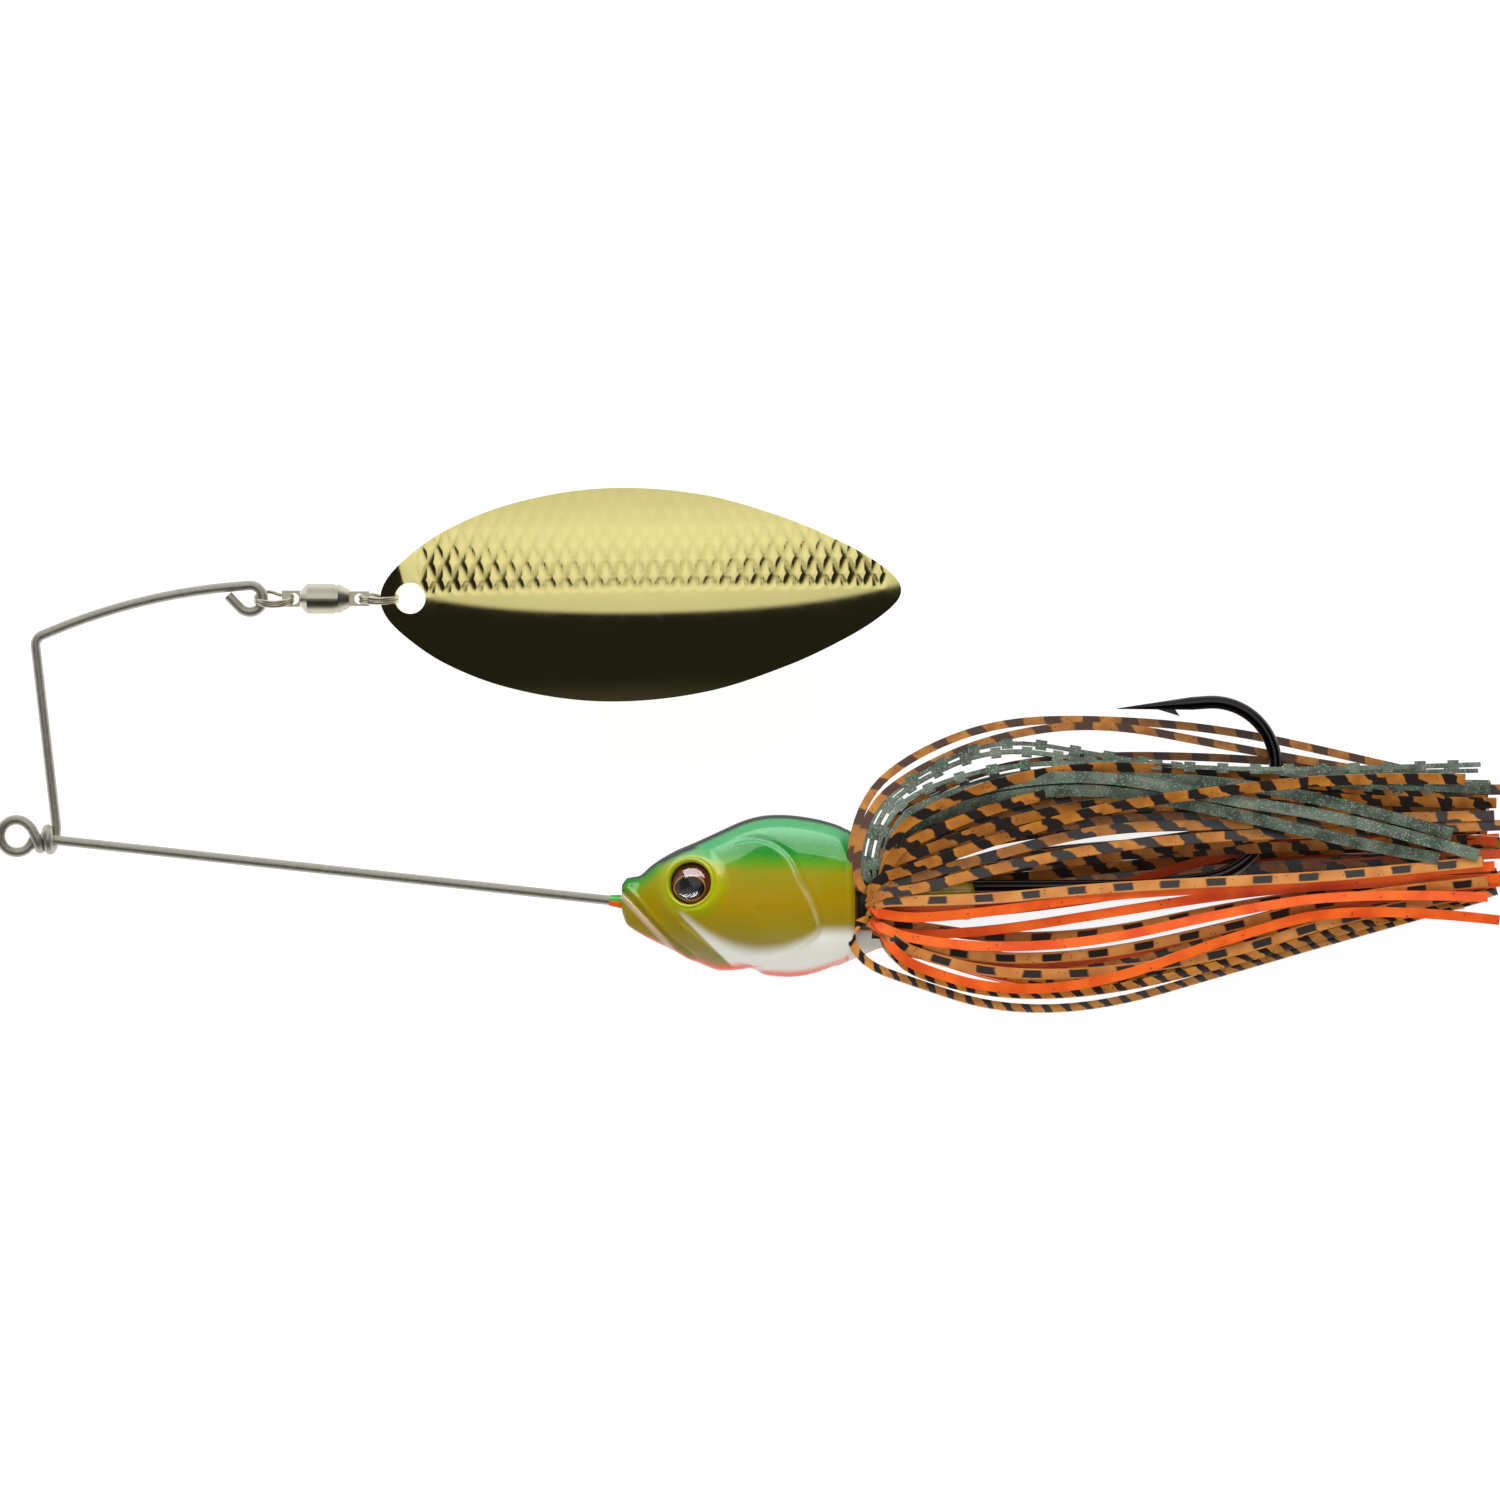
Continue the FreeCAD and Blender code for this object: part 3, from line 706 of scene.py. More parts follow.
def mark_gill_highlight(head):
    """Keeps a painted highlight along the gill plate's rear edge as an attribute, for the head's paint."""
    back, up, _ = points_of(head).T
    patchy = 0.7 + 0.3 * np.sin(1.9 * up + 0.8) * np.sin(0.9 * up)
    highlight = bead(gill_depth(back, up) - 0.1, 0.17) * step(back, 14.0, 17.0) * patchy
    layer = head.data.attributes.new("gill edge", "FLOAT", "POINT")
    layer.data.foreach_set("value", highlight)


def gill_relief(back, up):
    """The gill plate stands out at its rear edge and dies away forwards; a groove runs behind it."""
    depth = gill_depth(back, up)
    rear = step(back, 10.2, 13.4)
    plate = GILL_RISE * step(depth, -0.16, 0.16) * np.exp(-np.maximum(depth, 0) / 4.5) * rear
    return plate - 0.10 * bead(depth + 0.3, 0.3) * rear


def jaw_relief(back, up):
    """The jaw's plate ahead of its line, with a groove behind it."""
    distance, side = line_distance(back, up, JAW_LINE)
    ahead = np.where(side < 0, distance, -distance)
    jaw = 0.24 * step(ahead, -0.14, 0.14) * np.exp(-np.maximum(ahead, 0) / 1.4)
    jaw -= 0.08 * bead(ahead + 0.22, 0.2)
    return jaw * (step(back, 3.6, 5.0) * step(back, 10.4, 9.2))


def mouth_relief(back, up):
    """The mouth's groove between two soft lips."""
    distance, _ = line_distance(back, up, MOUTH_LINE)
    mouth = -0.34 * bead(distance, 0.2) + 0.14 * bead(distance - 0.42, 0.22)
    return mouth * step(back, 7.4, 6.2)


def head_relief(back, up):
    """How far the head's details stand out of its smooth shape."""
    from_eye = np.hypot(back - EYE_IN_HEAD.x, up - EYE_IN_HEAD.y)
    orbit = 0.2 * step(ORBIT_RADIUS - from_eye, -0.35, 0.45)
    rim = 0.2 * bead(from_eye - 2.5, 0.3)
    return gill_relief(back, up) + jaw_relief(back, up) + mouth_relief(back, up) + orbit + rim


def sink_eye_seats(head):
    """Presses a flat seat into each side for the foil."""
    points = points_of(head)
    for name, side in SIDES.items():
        axis = np.array(eye_axis(side))
        centre = np.array((middle("eye_foil_" + name) - NOSE) / MM) - axis * SEAT_DEPTH
        offset = points - centre
        height = offset @ axis
        across = np.linalg.norm(offset - np.outer(height, axis), axis=1)
        sunk = (across < EYE_SEAT) & (height > 0)
        points[sunk] -= np.outer(height[sunk], axis)
    set_points(head, points)


def eye_rim(name, side):
    """A rounded ring round the eye's seat."""
    deselect()
    bpy.ops.mesh.primitive_torus_add(major_segments=96, minor_segments=16, **EYE_RIM)
    rim = bpy.context.object
    rim.scale = (1, 1, 2.0)
    axis = eye_axis(side)
    rim.rotation_euler = axis.to_track_quat("Z", "Y").to_euler()
    rim.location = (middle("eye_foil_" + name) - NOSE) / MM + axis * EYE_RIM_LIFT
    settle(rim)
    return rim


def keeper_post():
    """The skirt keeper behind the head, with a rounded end."""
    deselect()
    bpy.ops.mesh.primitive_cylinder_add(vertices=64, radius=KEEPER_RADIUS,
                                        depth=KEEPER_LENGTH + HEAD_LENGTH - KEEPER_START,
                                        rotation=(0, math.pi / 2, 0))
    post = bpy.context.object
    post.location = ((HEAD_LENGTH + KEEPER_LENGTH + KEEPER_START) / 2, KEEPER_HEIGHT / MM, 0)
    settle(post)
    apply_modifier(post, "BEVEL", width=0.7, segments=6, limit_method="ANGLE")
    return post


def wire_neck():
    """The paint's end on the wire, just ahead of the nose."""
    deselect()
    bpy.ops.mesh.primitive_cone_add(vertices=48, rotation=(0, math.pi / 2, 0), **NECK)
    neck = bpy.context.object
    settle(neck)
    neck.rotation_euler = (0, 0, WIRE_SLOPE)
    neck.location = NECK_PLACE
    settle(neck)
    return neck


def to_row(piece):
    """From millimetres about the nose to the row frame."""
    piece.data.transform(Matrix.Translation(NOSE) @ Matrix.Scale(MM, 4))
    piece.data.update()


def make_head():
    head = lofted("head", HEAD_PROFILE, 200, 260, head_relief)
    mark_gill_highlight(head)
    sink_eye_seats(head)
    keel = lofted("keel", KEEL_PROFILE, 40, 48)
    rims = [eye_rim(name, side) for name, side in SIDES.items()]
    head = join("head_body", [head, keel, keeper_post(), wire_neck(), *rims])
    to_row(head)
    smooth_shade(head, 50)
    finish_piece(head, head_paint(), "head_paint", "head_casting")


# ---- blade

BLADE_LENGTH = 50.1
BLADE_THICKNESS = 0.45
BLADE_SLOPE = math.radians(1)
CUP_ACROSS = 24.0               # the cup's radius across the blade, and along it
CUP_ALONG = 137.0
CUP_REST = 0.7                  # the cup starts this far in from the tip
HOLE_BACK = 2.9
HOLE_RADIUS = 1.5
BLADE_OUTLINE = [               # distance from the front tip, half width
    (0.0, 0.0), (0.45, 1.55), (2.4, 3.7), (6.2, 6.35), (12.0, 8.7), (21.6, 10.25), (31.3, 9.45),
    (38.9, 7.15), (44.7, 4.55), (48.6, 2.1), (50.1, 0.0),
]
SCALE_PITCH = 1.55
SCALE_HEIGHT = 3.3
SCALE_GROOVE = 0.85             # below 1 the scales keep a flat top
SCALE_RELIEF = 0.18
TIP_BEND = 0.04                 # the front tip turns down towards the ring
TIP_BEND_LENGTH = 2.6


def blade_turn(along):
    """Angle round a circle whose diameter is the blade, so that blunt tips read smoothly."""
    return np.arccos(np.clip(1 - 2 * np.asarray(along) / BLADE_LENGTH, -1, 1))


def scale_grooves(along, across):
    """Pressed fish scales over the upper half, deepest near the middle line and at the ends."""
    a = along / SCALE_PITCH + across / SCALE_HEIGHT
    b = along / SCALE_PITCH - across / SCALE_HEIGHT
    ribs = np.minimum(np.abs(np.sin(math.pi * a)), np.abs(np.sin(math.pi * b)))
    scales = np.minimum(ribs / SCALE_GROOVE, 1.0)
    ends = np.abs(along - BLADE_LENGTH * 0.45) / (BLADE_LENGTH / 2)
    strength = (0.6 + 0.18 * step(ends, 0.25, 0.7)) * (1 - 0.8 * step(across, 1.8, 7.5))
    strength *= step(across, 0.1, 0.9) * step(along, 3.2, 4.6) * step(along, 49.2, 47.6)
    return strength * (1 - scales)


def blade_outline(turn):
    """Half width at an angle round that circle."""
    knots = [(float(blade_turn(along)), half) for along, half in BLADE_OUTLINE]
    return np.maximum(smooth_curve(knots, turn), 0.0)


def open_hole(leaf):
    """Takes the flat sheet's faces out of the hole and rounds the edge that is left."""
    centre = Vector((HOLE_BACK, 0, 0))
    pick(leaf, "FACE", lambda face: (face.center - centre).length < HOLE_RADIUS)
    bpy.ops.mesh.delete(type="FACE")
    bpy.ops.object.mode_set(mode="OBJECT")
    edges = np.zeros(len(leaf.data.loops), int)
    leaf.data.loops.foreach_get("edge_index", edges)
    ends = np.zeros(len(leaf.data.edges) * 2, int)
    leaf.data.edges.foreach_get("vertices", ends)
    open_edges = np.bincount(edges, minlength=len(leaf.data.edges)) == 1
    rim = np.unique(ends.reshape(-1, 2)[open_edges])
    points = points_of(leaf)
    offset = points[rim] - np.array(centre)
    reach = np.linalg.norm(offset, axis=1)
    near = reach < HOLE_RADIUS * 1.2
    points[rim[near]] = np.array(centre) + offset[near] * (HOLE_RADIUS / reach[near])[:, None]
    set_points(leaf, points)


def cup_height(along, across):
    """Height of the leaf, curved both ways."""
    half = BLADE_LENGTH / 2
    drop = CUP_ALONG - math.sqrt(CUP_ALONG ** 2 - (half - CUP_REST) ** 2)
    crown = drop + BLADE_THICKNESS / 2
    reach = CUP_ALONG - CUP_ACROSS + np.sqrt(CUP_ACROSS ** 2 - across ** 2)
    return crown - CUP_ALONG + np.sqrt(reach ** 2 - (along - half) ** 2)


def make_blade():
    """The willow leaf: a fine sheet drilled flat, pressed to shape and given its thickness."""
    deselect()
    bpy.ops.mesh.primitive_grid_add(x_subdivisions=320, y_subdivisions=130, size=2)
    leaf = bpy.context.object
    grid = points_of(leaf)
    turn = (grid[:, 0] + 1) / 2 * math.pi
    along = BLADE_LENGTH * (1 - np.cos(turn)) / 2
    across = grid[:, 1] * blade_outline(turn)
    set_points(leaf, np.stack([along, across, 0 * along], 1))
    open_hole(leaf)

    along, across = points_of(leaf)[:, :2].T
    groove = scale_grooves(along, across)
    layer = leaf.data.attributes.new("groove", "FLOAT", "POINT")
    layer.data.foreach_set("value", groove)
    height = cup_height(along, across) - SCALE_RELIEF * groove
    height = height - TIP_BEND * np.maximum(TIP_BEND_LENGTH - along, 0) ** 2
    set_points(leaf, np.stack([along, across, height], 1))
    face_outwards(leaf)
    apply_modifier(leaf, "SOLIDIFY", thickness=BLADE_THICKNESS, offset=-1)
    leaf.data.transform(Matrix.Translation(BLADE_TIP) @ Matrix.Rotation(BLADE_SLOPE, 4, "Z")
                        @ Matrix.Scale(MM, 4))
    leaf.name = leaf.data.name = "blade_leaf"
    smooth_shade(leaf, 40)
    finish_piece(leaf, gold_plate(), "blade", "blade", body="blade")


# ---- skirt

STRAND_CUTS = 63
KNOB_SPACING = 3
KNOB_HEIGHT = 0.28
STATIONS = (4.0, 12.0, 22.0, 34.0, 46.0)    # behind the collar, where each strand's height is given
DEPTH_SHARE = (0.75, 1.0, 1.0, 1.0, 0.92)   # share of a strand's depth at each of them
TIP_DEPTH_SHARE = 0.8
COLLAR_CURL = [(-0.9, 2.3), (1.3, 3.0)]     # distance back, distance from the axis
BULGE_BACK, BULGE_RADIUS = 0.9, 3.95        # where a strand turns outwards over the collar
BULGE_LEAN = 3.5                # how far forward of that the outer strands turn
SHOULDER_BACK, SHOULDER_RADIUS = 1.9, 4.0   # and where it turns backwards
SHOULDER_LEAN = 2.9
SHOULDER_SPREAD = 0.62          # share of a strand's further height that it has there
LEAN_REACH = (9.5, 13.5)        # the lean grows from none to full between these distances
LEVEL_HEIGHTS = (5.0, 3.0)      # strands near the collar's own height lean a little too
LEVEL_LEAN = 0.42
LOOSE_SHARE = 0.86              # share of its own angle at which a strand leaves the collar
SHOULDER_SHARE = 0.78
CURLED_SHARE = 0.3
NEAR_SHARE, NEAR_OUTER_SHARE = 0.42, 0.2
NEAR_OUTER_REACH = 12.3
NEAR_ABOVE = -1.5               # near strands above this height are gathered to one side
GATHER_SWING = 0.3              # and leave the collar this much lower, in radians
STYLES = {                      # width and thickness of each kind of strand
    "loop": (0.78, 0.3),
    "tiger": (1.0, 0.3),
    "barred": (1.02, 0.3),
    "fine": (0.78, 0.3),
    "orange": (0.92, 0.3),
    "smoke": (1.12, 0.3),
    "knobbed": (0.42, 0.32),
}
# style, depth from the middle plane at the front and at the tip, heights above the keeper's axis at
# the stations, tip's place
NEAR_STRANDS = [
    ("tiger", (4.7, 2.4), (8.0, 11.5, 13.0, 12.0, 10.8), (55.0, 9.7)),
    ("tiger", (4.5, 2.2), (5.8, 9.1, 11.3, 10.6, 9.5), (60.0, 9.3)),
    ("tiger", (4.0, 1.8), (4.4, 7.3, 9.6, 9.2, 8.6), (59.0, 8.9)),
    ("tiger", (4.4, 5.1), (3.0, 5.9, 8.9, 10.6, 11.8), (56.8, 11.6)),
    ("tiger", (3.6, 3.4), (2.1, 4.4, 7.0, 7.2, 7.8), (59.7, 8.1)),
    ("tiger", (4.3, 3.4), (0.9, 3.1, 5.1, 6.2, 6.6), (60.6, 7.2)),
    ("barred", (4.4, 4.4), (-0.1, 0.2, 1.2, 1.8, 2.4), (58.5, 3.7)),
    ("barred", (4.0, 4.0), (-4.3, -5.7, -5.2, -2.6, 0.6), (59.0, 1.8)),
    ("barred", (4.2, 4.2), (-5.1, -7.1, -7.0, -5.2, -1.3), (56.0, 0.4)),
    ("fine", (2.2, 2.2), (-7.9, -10.5, -10.3, -6.8, -3.3), (59.0, 0.3)),
    ("fine", (2.8, 2.8), (-7.1, -9.2, -8.9, -6.1, -2.6), (60.0, 0.9)),
    ("fine", (1.6, 1.6), (-6.8, -9.0, -8.3, -5.3, -2.0), (58.4, 1.2)),
    ("barred", (2.9, 2.9), (-2.5, -3.7, -3.3, -0.7, 1.1), (60.0, 2.6)),
    ("orange", (4.7, 3.8), (-1.8, -1.0, 0.5, 1.2, 2.2), (59.7, 3.3)),
    ("orange", (3.6, 3.6), (-3.4, -2.9, -1.3, 0.6, 1.7), (60.2, 2.1)),
    ("orange", (4.6, 4.7), (-6.4, -8.7, -8.0, -3.6, -0.3), (60.1, -1.9)),
    ("orange", (4.5, 4.5), (-3.8, -4.6, -3.9, -1.1, 0.8), (59.0, 0.3)),
    ("orange", (3.3, 3.3), (-5.2, -6.4, -5.8, -2.5, -0.1), (60.5, 1.8)),
    ("smoke", (3.4, 4.7), (8.9, 11.3, 12.1, 9.6, 7.8), (58.1, 4.3)),
    ("smoke", (3.1, 4.8), (7.3, 10.1, 10.8, 8.5, 5.5), (54.3, 4.0)),
    ("smoke", (2.6, 4.3), (8.4, 10.9, 11.8, 11.4, 9.1), (55.6, 6.3)),
    ("knobbed", (1.3, 1.3), (11.9, 15.6, 13.9, 12.0, 12.2), (58.3, 12.4)),
    ("knobbed", (1.9, 1.9), (11.3, 14.8, 13.1, 11.5, 10.5), (53.0, 10.5)),
    ("knobbed", (3.3, 3.3), (10.4, 12.9, 13.3, 12.5, 12.6), (58.4, 13.0)),
    ("knobbed", (2.6, 2.6), (8.9, 12.2, 12.6, 12.2, 10.8), (56.0, 10.6)),
    ("loop", (0.9, -2.0), (14.0, 17.1, 17.4, 16.4, 13.8), (56.0, 11.4)),
    ("loop", (1.2, -2.0), (12.4, 15.8, 17.1, 14.8, 12.6), (57.0, 11.0)),
]
FAR_STRANDS = [
    ("loop", (-2.5, -2.5), (9.5, 12.9, 13.9, 13.7, 12.7), (53.8, 10.8)),
    ("tiger", (-1.4, -1.4), (0.6, 1.8, 3.0, 4.1, 5.1), (60.6, 5.5)),
    ("tiger", (-1.5, -1.6), (1.2, 1.6, 1.9, 2.9, 3.7), (60.4, 4.6)),
    ("tiger", (-2.4, -1.2), (0.3, 0.8, 1.6, 2.7, 3.2), (59.0, 3.8)),
    ("orange", (-2.1, -1.4), (-1.6, -1.2, 0.1, 2.2, 3.6), (61.0, 4.4)),
    ("tiger", (-3.0, -1.8), (2.6, 3.9, 4.6, 4.6, 4.9), (60.9, 5.2)),
    ("orange", (-1.0, -1.3), (-0.8, -0.4, 0.7, 4.5, 6.4), (60.2, 5.6)),
    ("orange", (-3.8, -2.4), (-1.2, -0.2, 1.2, 3.4, 4.6), (60.6, 5.9)),
    ("tiger", (-4.2, -3.4), (1.0, 2.0, 2.4, 3.6, 4.4), (58.2, 4.0)),
]
FILL_COUNT = 30
SKIRT_SEED = 11
CURLED_BELOW = -7.5             # the lowest fine strand curls forward under the head
STANDS_FOR = {
    ("tiger", "near"): ["skirt_upper_near", "skirt_gather"],
    ("tiger", "far"): ["skirt_upper_far"],
    ("barred", "near"): ["skirt_middle_near"],
    ("orange", "near"): ["skirt_lower_near"],
    ("orange", "far"): ["skirt_lower_far"],
    ("loop", "far"): ["skirt_middle_far"],
}


def strand_blank(style):
    """One straight strand lying along X from the origin, one unit long; knobs stand on one edge."""
    width, thickness = STYLES[style]
    deselect()
    bpy.ops.mesh.primitive_cube_add(size=1, calc_uvs=False, location=(0.5, 0, 0))
    blank = bpy.context.object
    blank.scale = (1, width, thickness)
    settle(blank)
    corners = points_of(blank)
    pick(blank, "EDGE", lambda edge: abs(np.ptp(corners[list(edge.vertices), 0])) > 0.5)
    bpy.ops.mesh.subdivide(number_cuts=STRAND_CUTS)
    bpy.ops.object.mode_set(mode="OBJECT")
    if style == "knobbed":
        raise_knobs(blank)
    blank.name = "blank_" + style
    return blank


def raise_knobs(blank):
    """Square knobs along both of the strand's edges."""
    for side in (1, -1):
        def on_knob(face):
            place = int(face.center.x * (STRAND_CUTS + 1))
            return face.normal.y * side > 0.9 and place % KNOB_SPACING == 1

        pick(blank, "FACE", on_knob)
        bpy.ops.mesh.extrude_region_move(TRANSFORM_OT_translate={"value": (0, KNOB_HEIGHT * side, 0)})
        bpy.ops.object.mode_set(mode="OBJECT")


def collar_lean(reach, height, curled):
    """How far forward a strand leans over the collar, from none to full."""
    if curled:
        return 1.0
    return float(step(reach, *LEAN_REACH)) + LEVEL_LEAN * float(step(abs(height), *LEVEL_HEIGHTS))


def collar_gather(side, reach, height, curled):
    """Share of its own angle at which a strand leaves the collar, and its swing from there."""
    if curled:
        return CURLED_SHARE, 0.0
    if side > 0 and height > NEAR_ABOVE:
        return (NEAR_SHARE if reach < NEAR_OUTER_REACH else NEAR_OUTER_SHARE), -GATHER_SWING
    return LOOSE_SHARE, 0.0


def strand_path(depths, heights, tip, flare, curled):
    """Control points from inside the collar to the tip, in millimetres about the collar's rear."""
    side = math.copysign(1, depths[0])
    reach = math.hypot(heights[0], depths[0])
    angle = math.atan2(heights[0], abs(depths[0]) * flare)
    lean = collar_lean(reach, heights[0], curled)
    gathered, swing = collar_gather(side, reach, heights[0], curled)
    rings = [(back, radius, gathered, swing) for back, radius in COLLAR_CURL]
    rings.append((BULGE_BACK - BULGE_LEAN * lean, BULGE_RADIUS, (gathered + SHOULDER_SHARE) / 2, swing))
    shoulder = SHOULDER_RADIUS + SHOULDER_SPREAD * (reach - SHOULDER_RADIUS)
    rings.append((SHOULDER_BACK - SHOULDER_LEAN * lean, shoulder, LOOSE_SHARE, 0.0))
    points = []
    for back, radius, share, turn in rings:
        turn += angle * share
        points.append(Vector((back, radius * math.sin(turn), radius * math.cos(turn) * side)))
    for i, (place, height, share) in enumerate(zip(STATIONS, heights, DEPTH_SHARE)):
        depth = depths[0] + (depths[1] - depths[0]) * i / (len(STATIONS) - 1)
        points.append(Vector((place, height, depth * share)))
    points.append(Vector((tip[0], tip[1], depths[1] * TIP_DEPTH_SHARE)))
    return points


def bend_strand(blank, points, roll, bar_start, stretch):
    """A copy of the blank laid along a path, with its length on its UV map in stretched millimetres."""
    curve = bpy.data.curves.new("strand path", "CURVE")
    curve.dimensions = "3D"
    curve.twist_mode = "Z_UP"
    curve.resolution_u = 16
    spline = curve.splines.new("NURBS")
    spline.points.add(len(points) - 1)
    for point, place in zip(spline.points, points):
        point.co = (*place, 1)
        point.tilt = roll
    spline.order_u = 3
    spline.use_endpoint_u = True
    length = spline.calc_length()
    path = bpy.data.objects.new("strand path", curve)
    bpy.context.scene.collection.objects.link(path)

    strand = blank.copy()
    strand.data = blank.data.copy()
    bpy.context.scene.collection.objects.link(strand)
    straight = points_of(strand)
    width = np.abs(straight[:, 1]).max() * 2
    uv = strand.data.uv_layers.new(name="UVMap")
    corners = np.zeros(len(strand.data.loops), int)
    strand.data.loops.foreach_get("vertex_index", corners)
    flat = np.stack([straight[corners, 0] * length * stretch + bar_start, straight[corners, 1] / width], 1)
    uv.data.foreach_set("uv", flat.ravel())
    straight[:, 0] *= length * 0.999
    set_points(strand, straight)
    apply_modifier(strand, "CURVE", object=path, deform_axis="POS_X")
    bpy.data.objects.remove(path)
    return strand


def fill_strands(chance):
    """Strands deeper in the bundle, thick above the shank and thin below it."""
    strands = []
    for i in range(FILL_COUNT):
        crest = chance.uniform(3.2, 12.2) if i % 5 else chance.uniform(-9.3, -6.8)
        tail = chance.uniform(4.0, 11.0) if crest > 0 else chance.uniform(-0.5, 3.0)
        ease = abs(crest) / 12.0
        heights = (crest * (0.32 + 0.3 * ease), crest * (0.68 + 0.22 * ease), crest,
                   crest * 0.62 + tail * 0.38, crest * 0.2 + tail * 0.8)
        style = "orange" if crest < 0 and i % 2 else ("smoke" if i % 9 == 4 else "tiger")
        depth = -chance.uniform(1.3, 4.7) if i % 4 else chance.uniform(1.2, 2.4)
        strands.append((style, (depth, depth), heights, (chance.uniform(57.0, 61.0), tail)))
    return strands


def strand_finishes():
    """The material of each kind of strand."""
    finishes = {
        "loop": strand_finish("amber loop silicone", colour(190, 126, 50), colour(144, 88, 34),
                              4.2, 0.44, 0.4, 0.6, 1.0, bar=colour(74, 46, 30)),
        "tiger": strand_finish("amber tiger silicone", colour(194, 125, 43), colour(152, 90, 26),
                               3.7, 0.43, 0.8, 0.6, 2.0),
        "barred": strand_finish("amber barred silicone", colour(206, 138, 66), colour(184, 112, 46),
                                4.45, 0.42, 0.0, 0.36, 0.6),
        "fine": strand_finish("amber fine barred silicone", colour(224, 154, 68), colour(192, 124, 50),
                              2.2, 0.4, 0.7, 0.6, 0.8),
        "orange": orange_silicone(),
        "smoke": smoke_silicone(),
    }
    finishes["knobbed"] = finishes["smoke"]
    return finishes


def lay_strands():
    """Every strand, sorted by its kind and side."""
    chance = random.Random(SKIRT_SEED)
    blanks = {style: strand_blank(style) for style in STYLES}
    bundles = {(style, side): [] for style in STYLES for side in SIDES}
    for style, depths, heights, tip in NEAR_STRANDS + FAR_STRANDS + fill_strands(chance):
        curled = style == "fine" and heights[0] < CURLED_BELOW
        points = strand_path(depths, heights, tip, chance.uniform(0.8, 1.3), curled)
        roll = math.radians(chance.uniform(-16, 16))
        stretch = 1.0 if style == "barred" else chance.uniform(0.84, 1.2)
        strand = bend_strand(blanks[style], points, roll, chance.uniform(0, 40), stretch)
        bundles[style, "near" if depths[0] > 0 else "far"].append(strand)
    for blank in blanks.values():
        bpy.data.objects.remove(blank)
    return bundles


def make_skirt():
    """One piece for each kind of strand on each side; some stand for the CAD's plain ones."""
    bundles = lay_strands()
    finishes = strand_finishes()
    for (style, side), strands in bundles.items():
        if not strands:
            continue
        bundle = join(f"strands_{style}_{side}", strands)
        bundle.data.transform(Matrix.Translation(COLLAR_REAR) @ Matrix.Scale(MM, 4))
        smooth_shade(bundle, 40)
        finish_piece(bundle, finishes[style], "skirt", *STANDS_FOR.get((style, side), []))


# ---- CAD nodes that keep their shape


def dress_frame():
    """Materials for the wire, the hook, the swivel, the rings and the eyes."""
    steel = metal("stainless wire", colour(206, 203, 190), 0.46, 0.58, 2.5)
    nickel = metal("bright nickel", colour(208, 202, 182), 0.28, 0.34, 1.5, stain=0.92)
    black = metal("black nickel", colour(46, 44, 44), 0.1, 0.22, 1.6, bump=0.1, Coat_Weight=0.4)
    looks = {
        "wire_frame": steel,
        "hook": black,
        "skirt_collar": rubber(),
        "split_ring_front": nickel,
        "split_ring_rear": nickel,
        "swivel_shaft": nickel,
        "swivel_barrel": nickel,
        "swivel_tail": nickel,
        "swivel_balls": nickel,
        "eye_dome_near": clear_resin(),
    }
    looks["eye_dome_far"] = looks["eye_dome_near"]
    for name, side in SIDES.items():
        looks["eye_foil_" + name] = eye_print(name, side)
    for node, material in looks.items():
        paint_piece(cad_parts[node], material)


# ---- floor, light and camera

VIEW_WIDTH = 0.14423            # what the camera sees across, at the object's own distance
VIEW_CENTRE = Vector((-0.33 * MM, -0.32 * MM, AXIS.z))
LENS = 200.0
SENSOR = 36.0
FLOOR_GLOW = 0.86               # how bright the floor looks to the camera and in reflections
AMBIENT = 0.45                  # soft light from all round


def make_floor():
    """A pale floor that takes the shadow, and shows nearly white where it is seen."""
    deselect()
    bpy.ops.mesh.primitive_plane_add(size=6)
    floor = bpy.context.object
    floor.name = "floor"
    material = bpy.data.materials.new("pale floor")
    material.use_nodes = True
    material.node_tree.nodes.clear()
    nodes = Nodes(material.node_tree)
    rays = nodes.add("LightPath").outputs
    seen = nodes.maths("MAXIMUM", rays["Is Camera Ray"], rays["Is Glossy Ray"])
    seen = nodes.maths("MAXIMUM", seen, rays["Is Transmission Ray"])
    cloth = nodes.add("BsdfDiffuse", {"Color": (0.25, 0.25, 0.25, 1)})
    glow = nodes.add("Emission", {"Strength": nodes.times(seen, FLOOR_GLOW)})
    both = nodes.add("AddShader", {0: cloth.outputs[0], 1: glow.outputs[0]})
    nodes.add("OutputMaterial", {"Surface": both.outputs[0]})
    paint_piece(floor, material)


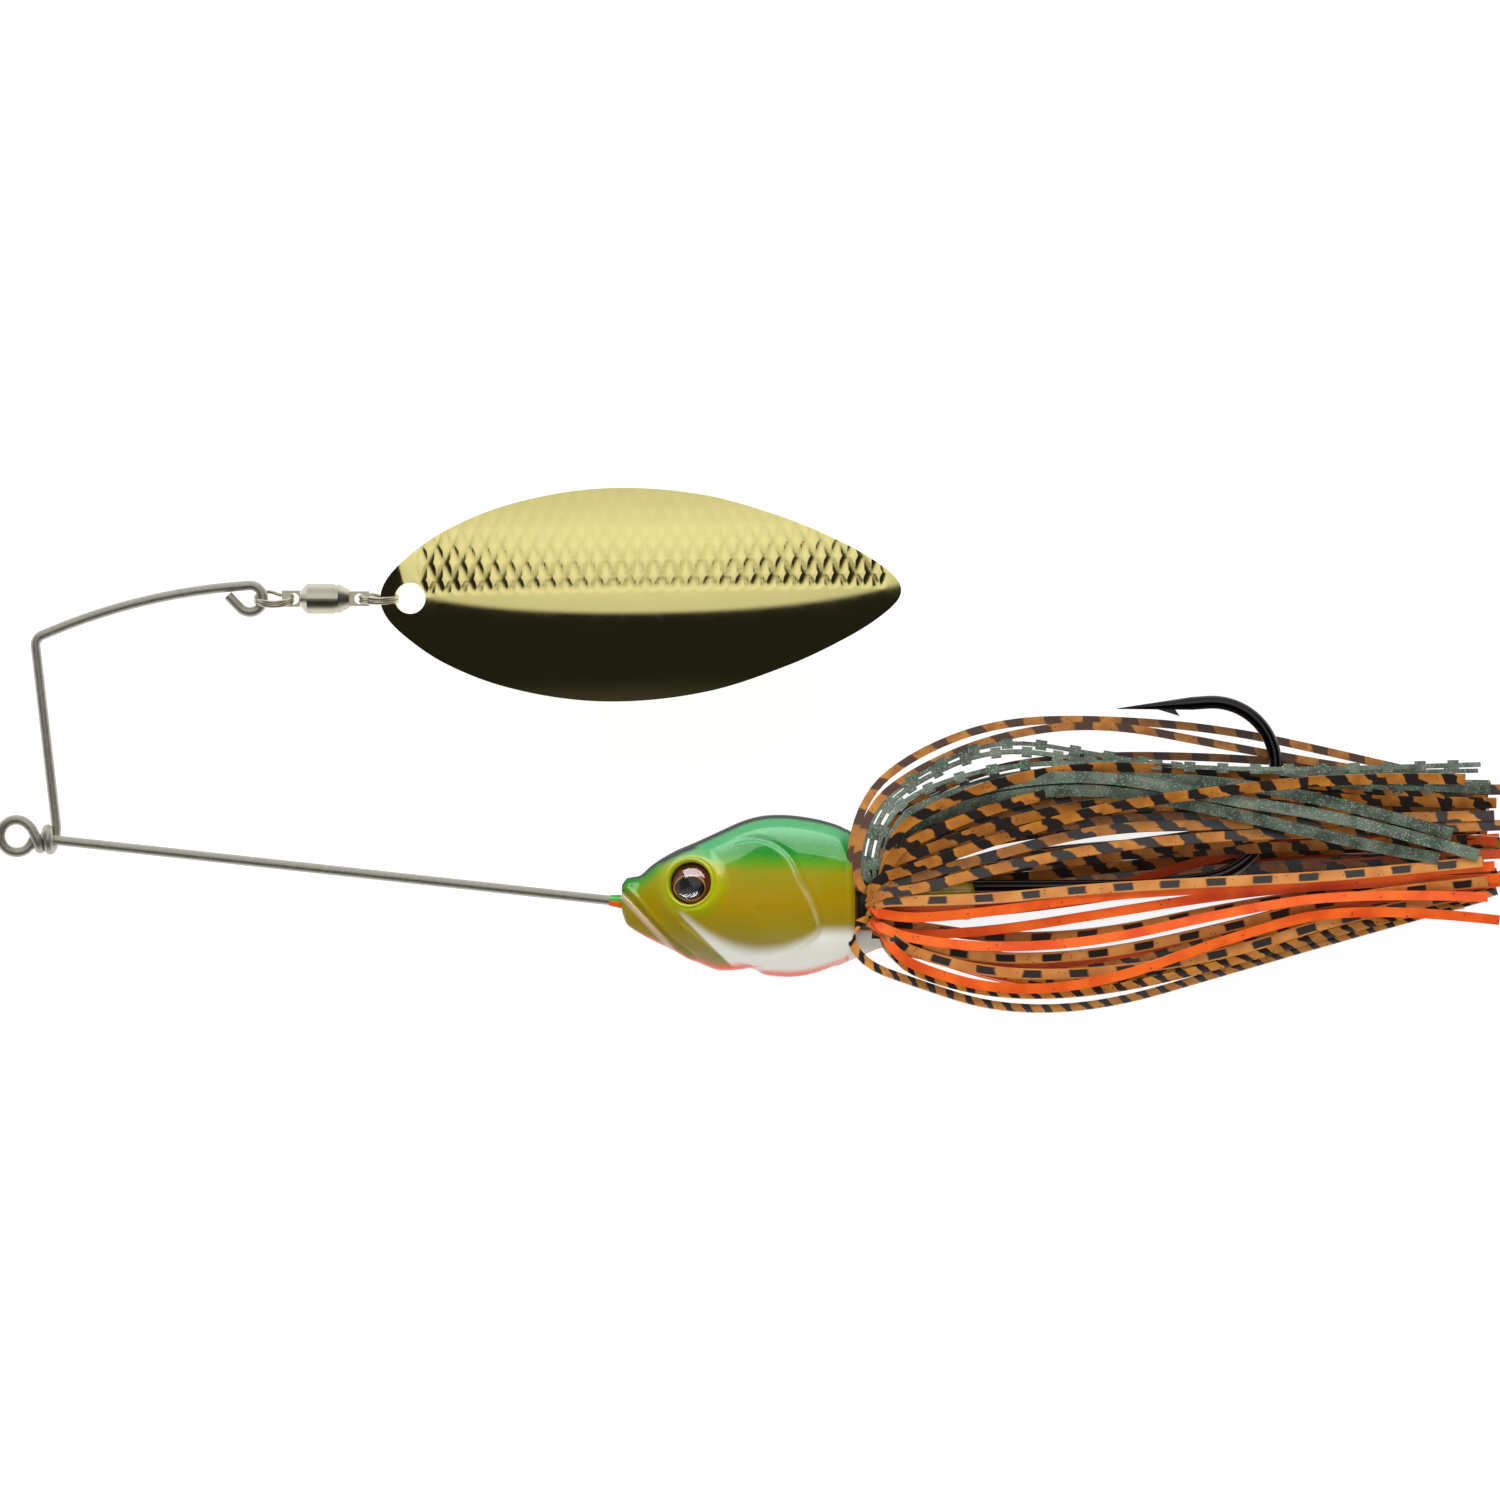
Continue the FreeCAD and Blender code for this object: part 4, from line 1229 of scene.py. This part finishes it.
def make_world():
    """White where it is seen, soft on the object, and in reflections a pale side and a dark side."""
    world = bpy.data.worlds.new("studio")
    bpy.context.scene.world = world
    world.use_nodes = True
    world.node_tree.nodes.clear()
    nodes = Nodes(world.node_tree)
    rays = nodes.add("LightPath").outputs
    seen = nodes.maths("MAXIMUM", rays["Is Camera Ray"], rays["Is Transmission Ray"])
    across, toward, above = nodes.split(nodes.add("TexCoord").outputs["Generated"])
    square = nodes.times(across, across)
    bow = nodes.times(square, nodes.maths("MULTIPLY_ADD", square, 4.0, 0.9))
    edge = nodes.minus(nodes.plus(toward, 0.14), bow)
    fall = nodes.maths("ABSOLUTE", nodes.minus(toward, 0.38))
    glow = nodes.times(nodes.minus(1.0, square),
                       nodes.ramp(fall, 0.0, 0.5, 1.28, 0.92))
    pale = nodes.times(nodes.ramp(edge, -0.02, 0.03), glow)
    low = nodes.ramp(above, 0.45, 0.1)
    faint = nodes.ramp(toward, -0.6, -0.85, 0.02, 0.07)
    mirrored = nodes.maths("MAXIMUM", nodes.maths("MAXIMUM", pale, faint), low)
    lit = nodes.times(rays["Is Glossy Ray"], mirrored)
    plain = nodes.times(nodes.minus(1.0, rays["Is Glossy Ray"]), AMBIENT)
    hidden = nodes.times(nodes.minus(1.0, seen), nodes.plus(lit, plain))
    sky = nodes.add("Background", {"Strength": nodes.plus(seen, hidden)})
    nodes.add("OutputWorld", {"Surface": sky.outputs[0]})


def softbox(name, place, size, power, lights=True, mirrored=True):
    """A rectangular lamp aimed at the object's middle, for its light, its reflection or both."""
    lamp = bpy.data.lights.new(name, "AREA")
    lamp.shape = "RECTANGLE"
    lamp.size, lamp.size_y = size
    lamp.energy = power
    holder = bpy.data.objects.new(name, lamp)
    holder.location = place
    holder.rotation_euler = (-Vector(place)).to_track_quat("-Z", "Y").to_euler()
    holder.visible_diffuse = lights
    holder.visible_glossy = mirrored
    holder.visible_camera = False
    bpy.context.scene.collection.objects.link(holder)
    return holder


def light_only(lamp, names):
    """Lets a lamp reach only these objects."""
    lit = bpy.data.collections.new(lamp.name + " reaches")
    for name in names:
        lit.objects.link(bpy.data.objects[name])
    lamp.light_linking.receiver_collection = lit


def make_lights():
    make_world()
    softbox("key softbox", (0.0, 0.42, 0.26), (0.9, 0.22), 3.6, mirrored=False)
    softbox("low fill", (0.0, -0.42, 0.34), (0.8, 0.3), 1.6, mirrored=False)
    strip = softbox("strip", (0.0, 0.46, 0.22), (1.0, 0.46), 17.0, lights=False)
    light_only(strip, ["head_body", "eye_dome_near", "eye_dome_far"])


def make_camera():
    """Straight down on the object's near side."""
    camera = bpy.data.objects.new("camera", bpy.data.cameras.new("camera"))
    camera.data.lens = LENS
    camera.data.sensor_width = SENSOR
    camera.location = VIEW_CENTRE + Vector((0, 0, VIEW_WIDTH * LENS / SENSOR))
    bpy.context.scene.collection.objects.link(camera)
    bpy.context.scene.camera = camera


bpy.context.scene.view_settings.view_transform = "Standard"
make_camera()
make_floor()
dress_frame()
make_head()
make_blade()
make_skirt()
make_lights()
